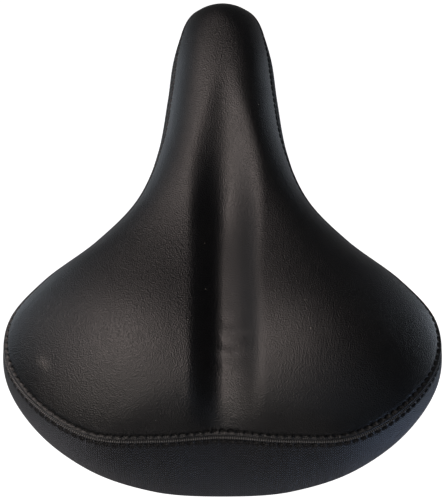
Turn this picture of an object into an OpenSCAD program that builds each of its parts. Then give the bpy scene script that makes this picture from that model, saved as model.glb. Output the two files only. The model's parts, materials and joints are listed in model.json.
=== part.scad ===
// Sprung comfort saddle for a city or cruiser bicycle.
// Millimetres, +Z up, +Y towards the nose, +X to the rider's right.
// The origin is the middle of the straight rail stretch, where a seatpost clamp takes hold.

/* [Seat outline] */
// Full width over the seam at the widest place
seat_w = 217; // [190:1:250]
// Full width over the seam near the nose
nose_w = 58; // [50:1:66]
// From the rail centre back to the middle of the rear seam
rear_reach = 113; // [105:1:125]
// From the rail centre forward to the nose tip
nose_reach = 161; // [155:1:175]

/* [Seat heights above the rail centre line] */
// Height of the seam at the rear
rear_seam_z = 82; // [78:1:90]
// Height of the seam along the flanks
side_seam_z = 60; // [58:1:66]
// Height of the rear crest on the middle line, before the relief channel
rear_crest_z = 100; // [96:1:108]
// Height of the nose on the middle line
nose_crest_z = 83; // [80:1:90]
// How far the middle line drops towards the tip of the nose
nose_droop = 9; // [0:0.5:12]

/* [Lobes and relief channel] */
// Extra height of the two sitting lobes
lobe_rise = 7; // [2:0.5:10]
// Half width of a lobe, where it has fallen to a third
lobe_w = 40; // [34:1:46]
// Half length of a lobe
lobe_l = 42; // [36:1:50]
// Depth of the relief channel at its deepest
channel_depth = 12; // [4:0.5:16]
// Half width of the channel at its widest, from the middle line to its edge
channel_w = 22; // [18:0.5:26]
// Height of the low ridge along the floor of the channel
ridge_rise = 2.5; // [0:0.5:4]
// Half width of that ridge
ridge_w = 7; // [4:0.5:9]

/* [Cover and skirt] */
// Thickness of the top cover
cover_t = 1.4; // [1:0.1:2]
// Thickness of the skirt fabric
skirt_t = 1.4; // [1:0.1:2]
// Height of the skirt at the middle of the rear
skirt_h_rear = 51; // [44:1:54]
// Height of the skirt along the flanks
skirt_h_side = 24; // [22:1:26]
// Width of the flap turned in under the rim and stapled
flap_w = 8; // [7:0.5:10]

/* [Padding] */
// Air or glue film between cover, foam, gel and shell
glue_gap = 0.2; // [0.1:0.05:0.3]
// Thickness of a gel insert at its middle
gel_t = 6; // [3:0.5:8]

/* [Base shell] */
// Underside of the base plate
plate_z = 53; // [52:0.5:56]
// Thickness of the base plate
plate_t = 3; // [2.5:0.5:4]
// Thickness of the rim that the flap is stapled to
rim_t = 3; // [2.5:0.5:3.5]
// Width of that rim
rim_w = 9; // [8:0.5:10]
// Width of the relief slot
slot_w = 16; // [10:1:20]
// Height of the stiffening ribs below the plate
rib_h = 6; // [3:1:8]
// Thickness of the ribs
rib_t = 2.2; // [1.6:0.2:3]

/* [Rails] */
// Diameter of the rail wire
rail_d = 7; // [7:0.5:8]
// Width over the rail centre lines, where the seatpost clamps
rails_w = 44; // [40:1:46]
// From the rail centre back to the bend point of the straight stretch
straight_rear = 38; // [34:1:42]
// From the rail centre forward to the other bend point
straight_front = 36; // [32:1:40]
// From the nose tip back to the nose cross-bar, the seat's hinge line
hinge_back = 46; // [44:1:48]
// Height of the nose cross-bar
hinge_z = 27; // [25:1:28]
// Length of the cross-bar between the rail centre lines
crossbar_l = 28; // [26:1:30]

/* [Springs] */
// Width over the two spring axes
springs_w = 90; // [86:1:100]
// From the middle of the rear seam forward to the spring axes
spring_inset = 43; // [39:1:47]
// Outer diameter of a spring
spring_d = 34; // [30:1:36]
// Diameter of the spring wire
spring_wire_d = 4.5; // [4:0.25:5]
// Active turns of a spring
spring_turns = 5; // [4:0.5:5.5]
// Wall of the cups that hold the spring ends
cup_t = 2; // [1.5:0.5:2.5]
// Depth of the cups
cup_h = 7; // [5:1:8]
// Clearance of the spring ends in their cups
cup_gap = 0.4; // [0.3:0.1:0.6]

/* [Fasteners and bracket] */
// Shank diameter of the spring bolts
bolt_d = 6; // [5:0.5:6]
// Shank diameter of the nose bracket bolts
nose_bolt_d = 5; // [4:0.5:5]
// Clearance of a bolt in its hole, on the diameter
bolt_play = 0.4; // [0.2:0.1:0.6]
// Thickness of the bridge strap between the rail eyes
bridge_t = 3; // [2.5:0.5:4]
// Diameter of the rail eyes
eye_d = 20; // [18:1:22]
// Thickness of the rail eyes
eye_t = 8; // [7.5:0.5:9]
// Thickness of the washers
washer_t = 1.5; // [1:0.25:2]
// Outer diameter of the nose bushing
bushing_d = 13; // [12:0.5:14]
// Length of the nose bushing and width of its bracket
bracket_w = 14; // [12:1:14]
// Thickness of the bracket strip
bracket_t = 2.5; // [2:0.5:3]
// From the hinge line to each bracket bolt
bracket_bolt_reach = 15; // [14.5:0.5:16]
// Clearance of the cross-bar in the bushing, on the radius
hinge_play = 0.05; // [0.03:0.01:0.1]
// Number of staples round the rim
staple_count = 44; // [20:4:60]

/* [Hidden] */

$fn = 48;

half_w = seat_w / 2;
nose_half = nose_w / 2;
rear_y = -rear_reach;
nose_y = nose_reach;
seat_l = nose_y - rear_y;
hinge_y = nose_y - hinge_back;
rail_r = rail_d / 2;
rail_x = rails_w / 2;
spring_x = springs_w / 2;
spring_y = rear_y + spring_inset;

// ---------------------------------------------------------------- seat surface
// Stations of the half outline, from the middle of the rear to the nose tip:
// [x, y, seam height, skirt height, outward bow of the skirt, flare of its hem].
// Rear stations scale with seat_w, nose stations with nose_w, and all with the length.
function along(share) = rear_y + seat_l * share;
function seam_z(share) = side_seam_z + (rear_seam_z - side_seam_z) * share;
function skirt_h(share) = skirt_h_side + (skirt_h_rear - skirt_h_side) * share;
function crest_z(share) = nose_crest_z + (rear_crest_z - nose_crest_z) * share;
STATIONS = [
    [0, rear_y, seam_z(1), skirt_h(1), 3, 11],
    [0.29 * half_w, rear_y - 2, seam_z(1), skirt_h(0.9), 3, 8],
    [0.57 * half_w, rear_y, seam_z(0.98), skirt_h(0.56), 3, 3],
    [0.81 * half_w, along(0.06), seam_z(0.87), skirt_h(0.23), 2.5, 2.5],
    [0.97 * half_w, along(0.155), seam_z(0.5), skirt_h(0.04), 2, 1.5],
    [0.98 * half_w, along(0.25), seam_z(0.27), skirt_h(0), 1.5, -1],
    [0.84 * half_w, along(0.34), seam_z(0.1), skirt_h(0), 1.5, -3],
    [0.6 * half_w, along(0.43), seam_z(0), skirt_h(0), 1.5, -4],
    [0.41 * half_w, along(0.525), seam_z(0), skirt_h(0), 1.5, -4],
    [1.17 * nose_half, along(0.65), seam_z(0), skirt_h(0.03), 1.5, -4],
    [nose_half, along(0.775), seam_z(0.04), skirt_h(0.07), 1.5, -3],
    [0.9 * nose_half, along(0.875), seam_z(0.04), skirt_h(0.1), 1.5, -3],
    [0.73 * nose_half, along(0.952), seam_z(-0.04), skirt_h(0.1), 1.5, -3],
    [0.45 * nose_half, along(0.988), seam_z(-0.07), skirt_h(0.1), 1.5, -3],
    [0, nose_y, seam_z(-0.09), skirt_h(0.1), 1.5, -3]];
LAST = len(STATIONS) - 1;

// The inner line that the surface is drawn in to, on the middle plane.
spine_rear_inset = 35;
spine_nose_inset = 27;
spine_rear_y = rear_y + spine_rear_inset;
spine_nose_y = nose_y - spine_nose_inset;

// Rings of the surface: AROUND points in each, DOME rings from the spine to the seam.
AROUND = 72;
DOME = 16;

function mirrored(row) = [for (i = [0 : len(row) - 1]) i == 0 ? -row[i] : row[i]];
function station(i) =
    i < 0 ? mirrored(STATIONS[-i])
    : i > LAST ? mirrored(STATIONS[2 * LAST - i])
    : STATIONS[i];
// Catmull-Rom blend of four stations.
function blend(a, b, c, d, f) =
    0.5 * (2 * b + (c - a) * f + (2 * a - 5 * b + 4 * c - d) * f * f
        + (3 * b - a - 3 * c + d) * f * f * f);
function row_at(u) =
    let (i = min(floor(u), LAST - 1))
    blend(station(i - 1), station(i), station(i + 1), station(i + 2), u - i);

function unit(v) = v / norm(v);
// The rows of one half: station values, outward normal in plan and spine point.
STEP = LAST / (AROUND / 2);
HALF = [for (j = [0 : AROUND / 2])
    let (u = j * STEP,
        row = row_at(u),
        ahead = row_at(u + 0.05),
        behind = u < 0.05 ? mirrored(row_at(0.05 - u)) : row_at(u - 0.05),
        run = unit([ahead[0] - behind[0], ahead[1] - behind[1]]),
        normal = j == 0 ? [0, -1] : j == AROUND / 2 ? [0, 1] : [run[1], -run[0]],
        spine = spine_rear_y + (spine_nose_y - spine_rear_y) * ease(pow(u / LAST, 1.35)))
    [row, normal, spine]];

function side(j) = j <= AROUND / 2 ? 1 : -1;
function fold(j) = j <= AROUND / 2 ? j : AROUND - j;
function bow(row, q) = row[4] * 4 * q * (1 - q) + row[5] * q;

// A point of the skirt wall: q runs from the seam to the hem, out is an offset along the normal.
function wall_point(j, q, out) =
    let (h = HALF[fold(j)], row = h[0], d = bow(row, q) + out)
    [side(j) * (row[0] + h[1][0] * d), row[1] + h[1][1] * d, row[2] - row[3] * q];

// A point of the hem pulled inwards by a length towards the spine, at a given height.
// Where the spine is nearer than full_rim_reach, as along the nose, the pull shrinks with it.
full_rim_reach = 45;
function drawn_in(j, inward, z) =
    let (h = HALF[fold(j)], row = h[0],
        px = row[0] + h[1][0] * row[5],
        py = row[1] + h[1][1] * row[5],
        reach = norm([px, py - h[2]]),
        r = 1 - inward / max(reach, full_rim_reach))
    [side(j) * px * r, h[2] + (py - h[2]) * r, z];
function hem_z(j) = HALF[fold(j)][0][2] - HALF[fold(j)][0][3];
function spine_point(j, z) = [0, HALF[j][2], z];

// Height added by the lobes and taken by the relief channel.
function bell(v, w) = exp(-(v / w) * (v / w));
function ease(t) = let (c = min(1, max(0, t))) c * c * (3 - 2 * c);
// How far a change that runs from share `from` back to share `to` of the length has gone at y.
function done(y, from, to) = ease((along(from) - y) / ((from - to) * seat_l));
// The channel opens behind the nose, is widest where the flanks spread and tapers to the rear.
function channel_edge(y) =
    channel_w * (0.3 + 0.7 * done(y, 0.8, 0.57)) * (1 - 0.15 * done(y, 0.5, 0.3));
function channel_at(y) = channel_depth * done(y, 0.8, 0.4) * (1 - 0.4 * done(y, 0.15, 0.03));
function trough(v) = 0.5 + 0.5 * cos(180 * min(1, abs(v)));
function relief(x, y) =
    lobe_rise * bell(abs(x) - 0.4 * half_w, lobe_w) * bell(y - along(0.19), lobe_l)
    - channel_at(y) * trough(x / channel_edge(y))
    + ridge_rise * done(y, 0.5, 0.3) * bell(x, ridge_w);
// Height of the middle line at y, before lobes and channel.
function droop_at(y) = nose_droop * pow(max(0, min(1, (y - along(0.76)) / (along(1) - along(0.76)))), 2);
function crest_at(y) = crest_z(done(y, 0.5, 0.08)) - droop_at(y);

// Share of the dome height at r, from 1 on the spine to 0 at the seam.
function dome(r) = pow(1 - pow(r, 2.9), 1 / 1.45);
// A point of the top surface, sunk by depth.
function top_point(j, r, depth) =
    let (h = HALF[fold(j)], row = h[0],
        x0 = row[0] * r,
        y0 = h[2] + (row[1] - h[2]) * r,
        px = (row[0] - h[1][0] * depth) * r,
        py = h[2] + (row[1] - h[1][1] * depth - h[2]) * r,
        rise = (crest_at(y0) - row[2] - depth) * dome(r) + relief(x0, y0) * (1 - pow(r, 5)))
    [side(j) * px, py, row[2] + rise];
function dome_r(k) = sin(90 * k / DOME);

// ---------------------------------------------------------------- ring solids
// Rings are lists of points. The first or last ring of a capped solid lies on the spine.
SPINE = [1 : AROUND / 2 - 1];
// Four-sided cells are split along mirrored diagonals. Surfaces that face another part are
// split the same way as the part they face: their cells, numbered by first ring, are in `facing`.
function in_range(k, range) = len(range) == 2 && k >= range[0] && k <= range[1];
function halves(q, other) =
    other ? [[q[0], q[1], q[3]], [q[1], q[2], q[3]]]
    : [[q[0], q[1], q[2]], [q[0], q[2], q[3]]];
function split_cells(first, last, facing, at) = [
    for (k = [first : last]) for (j = [0 : AROUND - 1])
        let (q = [at(k, j), at(k, j + 1), at(k + 1, j + 1), at(k + 1, j)])
            for (t = halves(q, in_range(k, facing) != (j >= AROUND / 2)))
                if (t[0] != t[1] && t[1] != t[2] && t[2] != t[0]) t];
module capped_solid(top_spine, rings, bottom_spine, facing) {
    // A spine ring holds one point for each pair of opposite points, shared by both sides.
    spine_n = AROUND / 2 - 1;
    m = len(rings);
    points = concat(top_spine, [for (ring = rings) for (p = ring) p], bottom_spine);
    tail = spine_n + m * AROUND;
    function spine_at(j) = min(max(fold(j % AROUND), 1), spine_n) - 1;
    at = function(k, j)
        k < 0 ? spine_at(j)
        : k >= m ? tail + spine_at(j)
        : spine_n + k * AROUND + j % AROUND;
    polyhedron(points = points, faces = split_cells(-1, m - 1, facing, at));
}
module looped_solid(rings, facing) {
    m = len(rings);
    at = function(k, j) (k % m) * AROUND + j % AROUND;
    polyhedron(points = [for (ring = rings) for (p = ring) p], faces = split_cells(0, m - 1, facing, at));
}

// ---------------------------------------------------------------- soft parts
foam_depth = cover_t + glue_gap;
skin = skirt_t + glue_gap;

// Gel inserts lie between these stations and rings.
GEL_J = [4, 16];
GEL_K = [4, 12];
function bump(v, lo, hi) = v <= lo || v >= hi ? 0 : pow(sin(180 * (v - lo) / (hi - lo)), 0.7);
gel_edge = 0.6;
function in_gel(j, k) = fold(j) >= GEL_J[0] && fold(j) <= GEL_J[1] && k >= GEL_K[0] && k <= GEL_K[1];
function gel_at(j, k) =
    gel_edge + (gel_t - gel_edge) * bump(fold(j), GEL_J[0], GEL_J[1]) * bump(k, GEL_K[0], GEL_K[1]);
function pocket_at(j, k) = in_gel(j, k) ? gel_at(j, k) + glue_gap : 0;

function shell_outer_z(j) = hem_z(j) + skin;
function shell_rim_top(j) = shell_outer_z(j) + rim_t;
plate_top = plate_z + plate_t;
rim_end = skin + rim_w;
rise_run = 6;

module top_cover() {
    color([0.13, 0.13, 0.135])
    capped_solid(
        [for (j = SPINE) top_point(j, 0, 0)],
        concat(
            [for (k = [1 : DOME]) [for (j = [0 : AROUND - 1]) top_point(j, dome_r(k), 0)]],
            [for (k = [DOME : -1 : 1]) [for (j = [0 : AROUND - 1]) top_point(j, dome_r(k), cover_t)]]),
        [for (j = SPINE) top_point(j, 0, cover_t)],
        facing = [DOME, 2 * DOME - 1]);
}

WALL_Q = [0.02, 0.25, 0.5, 0.75, 1];
// The staples lie along this line of the flap.
staple_inset = 0.6 * flap_w;
flap_end = flap_w + skirt_t;
module side_skirt() {
    last_q = len(WALL_Q) - 1;
    color([0.17, 0.17, 0.18])
    looped_solid(concat(
        [for (q = WALL_Q) [for (j = [0 : AROUND - 1]) wall_point(j, q, 0)]],
        [for (inward = [staple_inset, flap_end])
            [for (j = [0 : AROUND - 1]) drawn_in(j, inward, hem_z(j))]],
        [[for (j = [0 : AROUND - 1]) drawn_in(j, flap_end, hem_z(j) + skirt_t)]],
        [for (i = [last_q : -1 : 0])
            [for (j = [0 : AROUND - 1])
                let (h = HALF[fold(j)][0][3], q = min(WALL_Q[i], 1 - skirt_t / h))
                wall_point(j, q, -skirt_t)]]),
        facing = [last_q + 3, 2 * last_q + 3]);
}

module foam_body() {
    capped_solid(
        [for (j = SPINE) top_point(j, 0, foam_depth)],
        concat(
            [for (k = [1 : DOME])
                [for (j = [0 : AROUND - 1]) top_point(j, dome_r(k), foam_depth + pocket_at(j, k))]],
            [for (share = [0.15, 0.55, 1])
                [for (j = [0 : AROUND - 1])
                    let (h = HALF[fold(j)][0][3])
                    wall_point(j, share * (1 - (skin + rim_t + glue_gap) / h), -skin)]],
            [[for (j = [0 : AROUND - 1]) drawn_in(j, rim_end, shell_rim_top(j) + glue_gap)],
             [for (j = [0 : AROUND - 1]) drawn_in(j, rim_end + rise_run, plate_top + glue_gap)]]),
        [for (j = SPINE) spine_point(j, plate_top + glue_gap)],
        facing = []);
}

spring_head_r = 7;
spring_head_h = 3;
nose_head_r = 5.5;
nose_head_h = 2.5;
pocket_gap = 0.5;
module foam_pad() {
    color([0.85, 0.82, 0.7])
    difference() {
        foam_body();
        at_springs() head_pocket(spring_head_r, spring_head_h);
        at_bracket_bolts() head_pocket(nose_head_r, nose_head_h);
    }
}
module head_pocket(r, h) {
    translate([0, 0, plate_top - 1])
        cylinder(r = r + pocket_gap, h = h + pocket_gap + 1);
}

module gel_insert(left) {
    columns = GEL_J[1] - GEL_J[0] + 1;
    rows = GEL_K[1] - GEL_K[0] + 1;
    function j_at(c) = GEL_J[0] + c;
    count = columns * rows;
    upper = [for (k = [GEL_K[0] : GEL_K[1]]) for (c = [0 : columns - 1])
        top_point(j_at(c), dome_r(k), foam_depth)];
    lower = [for (k = [GEL_K[0] : GEL_K[1]]) for (c = [0 : columns - 1])
        top_point(j_at(c), dome_r(k), foam_depth + gel_at(j_at(c), k))];
    function a(r, c) = r * columns + c;
    function b(r, c) = count + r * columns + c;
    faces = concat(
        [for (r = [0 : rows - 2]) for (c = [0 : columns - 2]) for (t = [0, 1])
            t == 0 ? [a(r, c), a(r, c + 1), a(r + 1, c + 1)] : [a(r, c), a(r + 1, c + 1), a(r + 1, c)]],
        [for (r = [0 : rows - 2]) for (c = [0 : columns - 2]) for (t = [0, 1])
            t == 0 ? [b(r, c), b(r + 1, c + 1), b(r, c + 1)] : [b(r, c), b(r + 1, c), b(r + 1, c + 1)]],
        [for (c = [0 : columns - 2]) for (t = [0, 1])
            t == 0 ? [a(0, c + 1), a(0, c), b(0, c)] : [a(0, c + 1), b(0, c), b(0, c + 1)]],
        [for (c = [0 : columns - 2]) for (t = [0, 1])
            t == 0 ? [a(rows - 1, c), a(rows - 1, c + 1), b(rows - 1, c + 1)]
                : [a(rows - 1, c), b(rows - 1, c + 1), b(rows - 1, c)]],
        [for (r = [0 : rows - 2]) for (t = [0, 1])
            t == 0 ? [a(r, 0), a(r + 1, 0), b(r + 1, 0)] : [a(r, 0), b(r + 1, 0), b(r, 0)]],
        [for (r = [0 : rows - 2]) for (t = [0, 1])
            t == 0 ? [a(r + 1, columns - 1), a(r, columns - 1), b(r, columns - 1)]
                : [a(r + 1, columns - 1), b(r, columns - 1), b(r + 1, columns - 1)]]);
    color([0.45, 0.6, 0.8])
    mirror([left ? 1 : 0, 0, 0])
        polyhedron(points = concat(upper, lower), faces = faces);
}

// ---------------------------------------------------------------- base shell
module shell_body() {
    capped_solid(
        [for (j = SPINE) spine_point(j, plate_top)],
        [[for (j = [0 : AROUND - 1]) drawn_in(j, rim_end + rise_run, plate_top)],
         [for (j = [0 : AROUND - 1]) drawn_in(j, rim_end, shell_rim_top(j))],
         [for (j = [0 : AROUND - 1])
            let (h = HALF[fold(j)][0][3])
            wall_point(j, 1 - (skin + rim_t) / h, -skin)],
         [for (j = [0 : AROUND - 1])
            let (h = HALF[fold(j)][0][3])
            wall_point(j, 1 - skin / h, -skin)],
         [for (j = [0 : AROUND - 1]) drawn_in(j, flap_end, shell_outer_z(j))],
         [for (j = [0 : AROUND - 1]) drawn_in(j, rim_end + plate_t, shell_outer_z(j))],
         [for (j = [0 : AROUND - 1]) drawn_in(j, rim_end + rise_run + plate_t, plate_z)]],
        [for (j = SPINE) spine_point(j, plate_z)],
        facing = [-1, 1]);
}

slot_y = [along(0.3), along(0.62)];
rib_clear = 8;
rib_x = slot_w / 2 + rib_clear;
// Side ribs: share of the length, and reach outwards from the long rib.
SIDE_RIBS = [[0.35, 30], [0.46, 14]];
rib_over_rear = 4;
rib_over_nose = 2;
module slot_outline() {
    translate([-slot_w / 2, slot_y[0]])
        square([slot_w, slot_y[1] - slot_y[0]]);
    for (y = slot_y) translate([0, y]) circle(d = slot_w);
}
module ribs() {
    rib_y = [slot_y[0] - slot_w / 2 - rib_over_rear, slot_y[1] + slot_w / 2 + rib_over_nose];
    for (s = [-1, 1]) {
        translate([s * rib_x - rib_t / 2, rib_y[0], plate_z - rib_h])
            cube([rib_t, rib_y[1] - rib_y[0], rib_h + plate_t / 2]);
        for (rib = SIDE_RIBS)
            translate([s > 0 ? rib_x : -rib_x - rib[1], along(rib[0]) - rib_t / 2, plate_z - rib_h])
                cube([rib[1], rib_t, rib_h + plate_t / 2]);
    }
    for (y = rib_y)
        translate([-rib_x, y - rib_t / 2, plate_z - rib_h])
            cube([2 * rib_x, rib_t, rib_h + plate_t / 2]);
}
module base_shell() {
    color([0.1, 0.1, 0.1])
    difference() {
        union() {
            shell_body();
            ribs();
        }
        translate([0, 0, plate_z - 1])
            linear_extrude(plate_t + 2) slot_outline();
        at_springs() plate_hole(bolt_d);
        at_bracket_bolts() plate_hole(nose_bolt_d);
    }
}
module plate_hole(d) {
    translate([0, 0, plate_z - 1])
        cylinder(d = d + bolt_play, h = plate_t + 2);
}

// Staples on the turned-in flap, evenly spaced all round the rim.
staple_l = 8;
staple_wire = 1;
staple_sink = 0.2;
FLAP = [for (j = [0 : AROUND]) drawn_in(j % AROUND, staple_inset, hem_z(j % AROUND))];
function lengths(i = 1, sum = 0) =
    i > AROUND ? [sum] : concat([sum], lengths(i + 1, sum + norm(FLAP[i] - FLAP[i - 1])));
REACH = lengths();
// The point of the flap line at a length along it.
function flap_at(goal) =
    let (i = max([for (k = [0 : AROUND - 1]) if (REACH[k] <= goal) k]))
    FLAP[i] + unit(FLAP[i + 1] - FLAP[i]) * (goal - REACH[i]);
module cover_staples() {
    color([0.75, 0.75, 0.77])
    for (n = [0 : staple_count - 1])
        let (goal = (n + 0.5) * REACH[AROUND] / staple_count,
            middle = flap_at(goal),
            tail = flap_at(goal - staple_l / 2),
            tip = flap_at(goal + staple_l / 2),
            run = unit(tip - tail),
            z = min(middle[2], (tail[2] + tip[2]) / 2) - staple_wire - staple_sink)
        translate([middle[0], middle[1], z])
            rotate([0, -asin(run[2]), atan2(run[1], run[0])])
                translate([-staple_l / 2, -staple_wire / 2, 0])
                    cube([staple_l, staple_wire, staple_wire]);
}

// ---------------------------------------------------------------- rail frame
// A wire through a list of corner points, each corner rounded to its own bend radius.
// The straight lengths reach a little into the bends, which are a hair thicker to hold them.
wire_lap = 0.3;
bend_over = 0.02;
module wire(points, radii, d) {
    n = len(points);
    function turn_at(i) =
        i == 0 || i == n - 1 ? 0
        : let (a = unit(points[i] - points[i - 1]), b = unit(points[i + 1] - points[i]))
            acos(min(1, a * b));
    function cut_at(i) = radii[i] * tan(turn_at(i) / 2);
    for (i = [0 : n - 2])
        let (run = unit(points[i + 1] - points[i]),
            start = points[i] + run * (cut_at(i) - (i > 0 ? wire_lap : 0)),
            end = points[i + 1] - run * (cut_at(i + 1) - (i < n - 2 ? wire_lap : 0)))
        rod(start, end, d);
    for (i = [1 : n - 2])
        let (a = unit(points[i] - points[i - 1]),
            b = unit(points[i + 1] - points[i]),
            axis = unit(cross(a, b)),
            start = points[i] - a * cut_at(i),
            inward = cross(axis, a),
            centre = start + inward * radii[i],
            out = -inward)
        multmatrix([
            [out[0], a[0], axis[0], centre[0]],
            [out[1], a[1], axis[1], centre[1]],
            [out[2], a[2], axis[2], centre[2]],
            [0, 0, 0, 1]])
            rotate_extrude(angle = turn_at(i))
                translate([radii[i], 0]) circle(d = d + 2 * bend_over);
}
module rod(start, end, d) {
    run = end - start;
    length = norm(run);
    translate(start)
        rotate([0, acos(run[2] / length), atan2(run[1], run[0])])
            cylinder(d = d, h = length);
}

rail_bend_r = 16;
nose_bend_r = 8;
eye_land = 7;
module rail_frame() {
    eye = [spring_x, spring_y, 0];
    rear_bend = [rail_x, -straight_rear, 0];
    tail = eye + unit(rear_bend - eye) * eye_land;
    front_bend = [rail_x, straight_front, 0];
    corner = [crossbar_l / 2, hinge_y, hinge_z];
    right = [tail, rear_bend, front_bend, corner];
    left = [for (i = [3 : -1 : 0]) [-right[i][0], right[i][1], right[i][2]]];
    color([0.12, 0.12, 0.12])
    difference() {
        union() {
            wire(concat(right, left),
                [0, rail_bend_r, rail_bend_r, nose_bend_r, nose_bend_r, rail_bend_r, rail_bend_r, 0],
                rail_d);
            for (s = [-1, 1])
                translate([s * spring_x, spring_y, -eye_t / 2])
                    cylinder(d = eye_d, h = eye_t);
        }
        at_springs()
            translate([0, 0, -eye_t / 2 - 1])
                cylinder(d = bolt_d + bolt_play, h = eye_t + 2);
    }
}

module at_springs() {
    for (s = [-1, 1]) translate([s * spring_x, spring_y, 0]) children();
}
module at_bracket_bolts() {
    for (s = [-1, 1]) translate([0, hinge_y + s * bracket_bolt_reach, 0]) children();
}

bridge_z = -eye_t / 2 - bridge_t;
bridge_w = 15;
module rear_bridge() {
    color([0.13, 0.13, 0.13])
    difference() {
        union() {
            translate([-spring_x, spring_y - bridge_w / 2, bridge_z])
                cube([2 * spring_x, bridge_w, bridge_t]);
            at_springs()
                translate([0, 0, bridge_z]) cylinder(d = eye_d, h = bridge_t);
        }
        at_springs()
            translate([0, 0, bridge_z - 1]) cylinder(d = bolt_d + bolt_play, h = bridge_t + 2);
    }
}

// ---------------------------------------------------------------- springs and cups
cup_r = spring_d / 2 + cup_gap + cup_t;
lower_seat_z = eye_t / 2 + cup_t;
upper_seat_z = plate_z - cup_t;
module spring_cup() {
    // Opens upwards, floor on z = 0.
    color([0.12, 0.12, 0.12])
    difference() {
        cylinder(r = cup_r, h = cup_h);
        translate([0, 0, cup_t]) cylinder(r = cup_r - cup_t, h = cup_h);
        translate([0, 0, -1]) cylinder(d = bolt_d + bolt_play, h = cup_t + 2);
    }
}
module lower_spring_cup(s) {
    translate([s * spring_x, spring_y, eye_t / 2]) spring_cup();
}
module upper_spring_cup(s) {
    translate([s * spring_x, spring_y, plate_z]) mirror([0, 0, 1]) spring_cup();
}

// The coil as one swept tube of eight sides, with flat-lying end turns.
coil_r = (spring_d - spring_wire_d) / 2;
COIL_SIDES = 8;
COIL_RINGS_PER_TURN = 12;
end_gap = 0.1;
module coil_spring(s) {
    dead_turns = 1;
    turns = spring_turns + 2 * dead_turns * 0.75;
    rings = round(turns * COIL_RINGS_PER_TURN);
    wire_r = spring_wire_d / 2;
    z_lo = lower_seat_z + wire_r + end_gap;
    z_hi = upper_seat_z - wire_r - end_gap;
    // Height share along the coil: the end turns climb slowly, the active turns evenly.
    lie = dead_turns * 0.75 / turns;
    lay = spring_wire_d * 0.8 / (z_hi - z_lo);
    function climb(t) =
        t < lie ? lay * t / lie
        : t > 1 - lie ? 1 - lay * (1 - t) / lie
        : lay + (1 - 2 * lay) * (t - lie) / (1 - 2 * lie);
    function ring(i) =
        let (t = i / rings, turn = 360 * turns * t, z = z_lo + (z_hi - z_lo) * climb(t))
        [for (c = [0 : COIL_SIDES - 1])
            let (w = 360 * (c + 0.5) / COIL_SIDES, rr = coil_r + wire_r * cos(w))
            [rr * cos(turn), rr * sin(turn), z + wire_r * sin(w)]];
    points = [for (i = [0 : rings]) for (p = ring(i)) p];
    function at(i, c) = i * COIL_SIDES + c % COIL_SIDES;
    faces = concat(
        [[for (c = [0 : COIL_SIDES - 1]) at(0, c)]],
        [[for (c = [COIL_SIDES - 1 : -1 : 0]) at(rings, c)]],
        [for (i = [0 : rings - 1]) for (c = [0 : COIL_SIDES - 1]) for (t = [0, 1])
            t == 0 ? [at(i, c), at(i + 1, c), at(i + 1, c + 1)]
                : [at(i, c), at(i + 1, c + 1), at(i, c + 1)]]);
    color([0.6, 0.6, 0.62])
    translate([s * spring_x, spring_y, 0])
        mirror([s < 0 ? 1 : 0, 0, 0])
            polyhedron(points = points, faces = faces);
}

// ---------------------------------------------------------------- fasteners
// Across-flats size, head and nut height of a hexagon for a shank diameter.
function flats(d) = d * 5 / 3;
function hex_h(d) = d * 0.75;
module hexagon(d, h) {
    cylinder(d = flats(d) / cos(30), h = h, $fn = 6);
}
module nut(d) {
    color([0.7, 0.7, 0.72])
    difference() {
        hexagon(d, hex_h(d));
        translate([0, 0, -1]) cylinder(d = d + 2 * thread_gap, h = hex_h(d) + 2);
    }
}
module washer(d) {
    color([0.72, 0.72, 0.74])
    difference() {
        cylinder(d = 2 * d + 2, h = washer_t);
        translate([0, 0, -1]) cylinder(d = d + bolt_play, h = washer_t + 2);
    }
}
thread_gap = 0.05;
bolt_tip = 1.5;

lower_bolt_top = lower_seat_z + hex_h(bolt_d) + bolt_tip;
module lower_spring_bolts() {
    head_z = bridge_z - washer_t;
    color([0.7, 0.7, 0.72])
    at_springs() {
        translate([0, 0, head_z - hex_h(bolt_d)]) hexagon(bolt_d, hex_h(bolt_d));
        translate([0, 0, head_z - 0.5]) cylinder(d = bolt_d, h = lower_bolt_top - head_z + 0.5);
    }
}
module lower_spring_washers() {
    at_springs() translate([0, 0, bridge_z - washer_t]) washer(bolt_d);
}
module lower_spring_nuts() {
    at_springs() translate([0, 0, lower_seat_z]) nut(bolt_d);
}

upper_nut_z = upper_seat_z - washer_t - hex_h(bolt_d);
module upper_spring_bolts() {
    color([0.7, 0.7, 0.72])
    at_springs() {
        translate([0, 0, plate_top]) cylinder(r = spring_head_r, h = spring_head_h);
        translate([0, 0, upper_nut_z - bolt_tip])
            cylinder(d = bolt_d, h = plate_top - upper_nut_z + bolt_tip + 0.5);
    }
}
module upper_spring_washers() {
    at_springs() translate([0, 0, upper_seat_z - washer_t]) washer(bolt_d);
}
module upper_spring_nuts() {
    at_springs() translate([0, 0, upper_nut_z]) nut(bolt_d);
}

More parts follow.
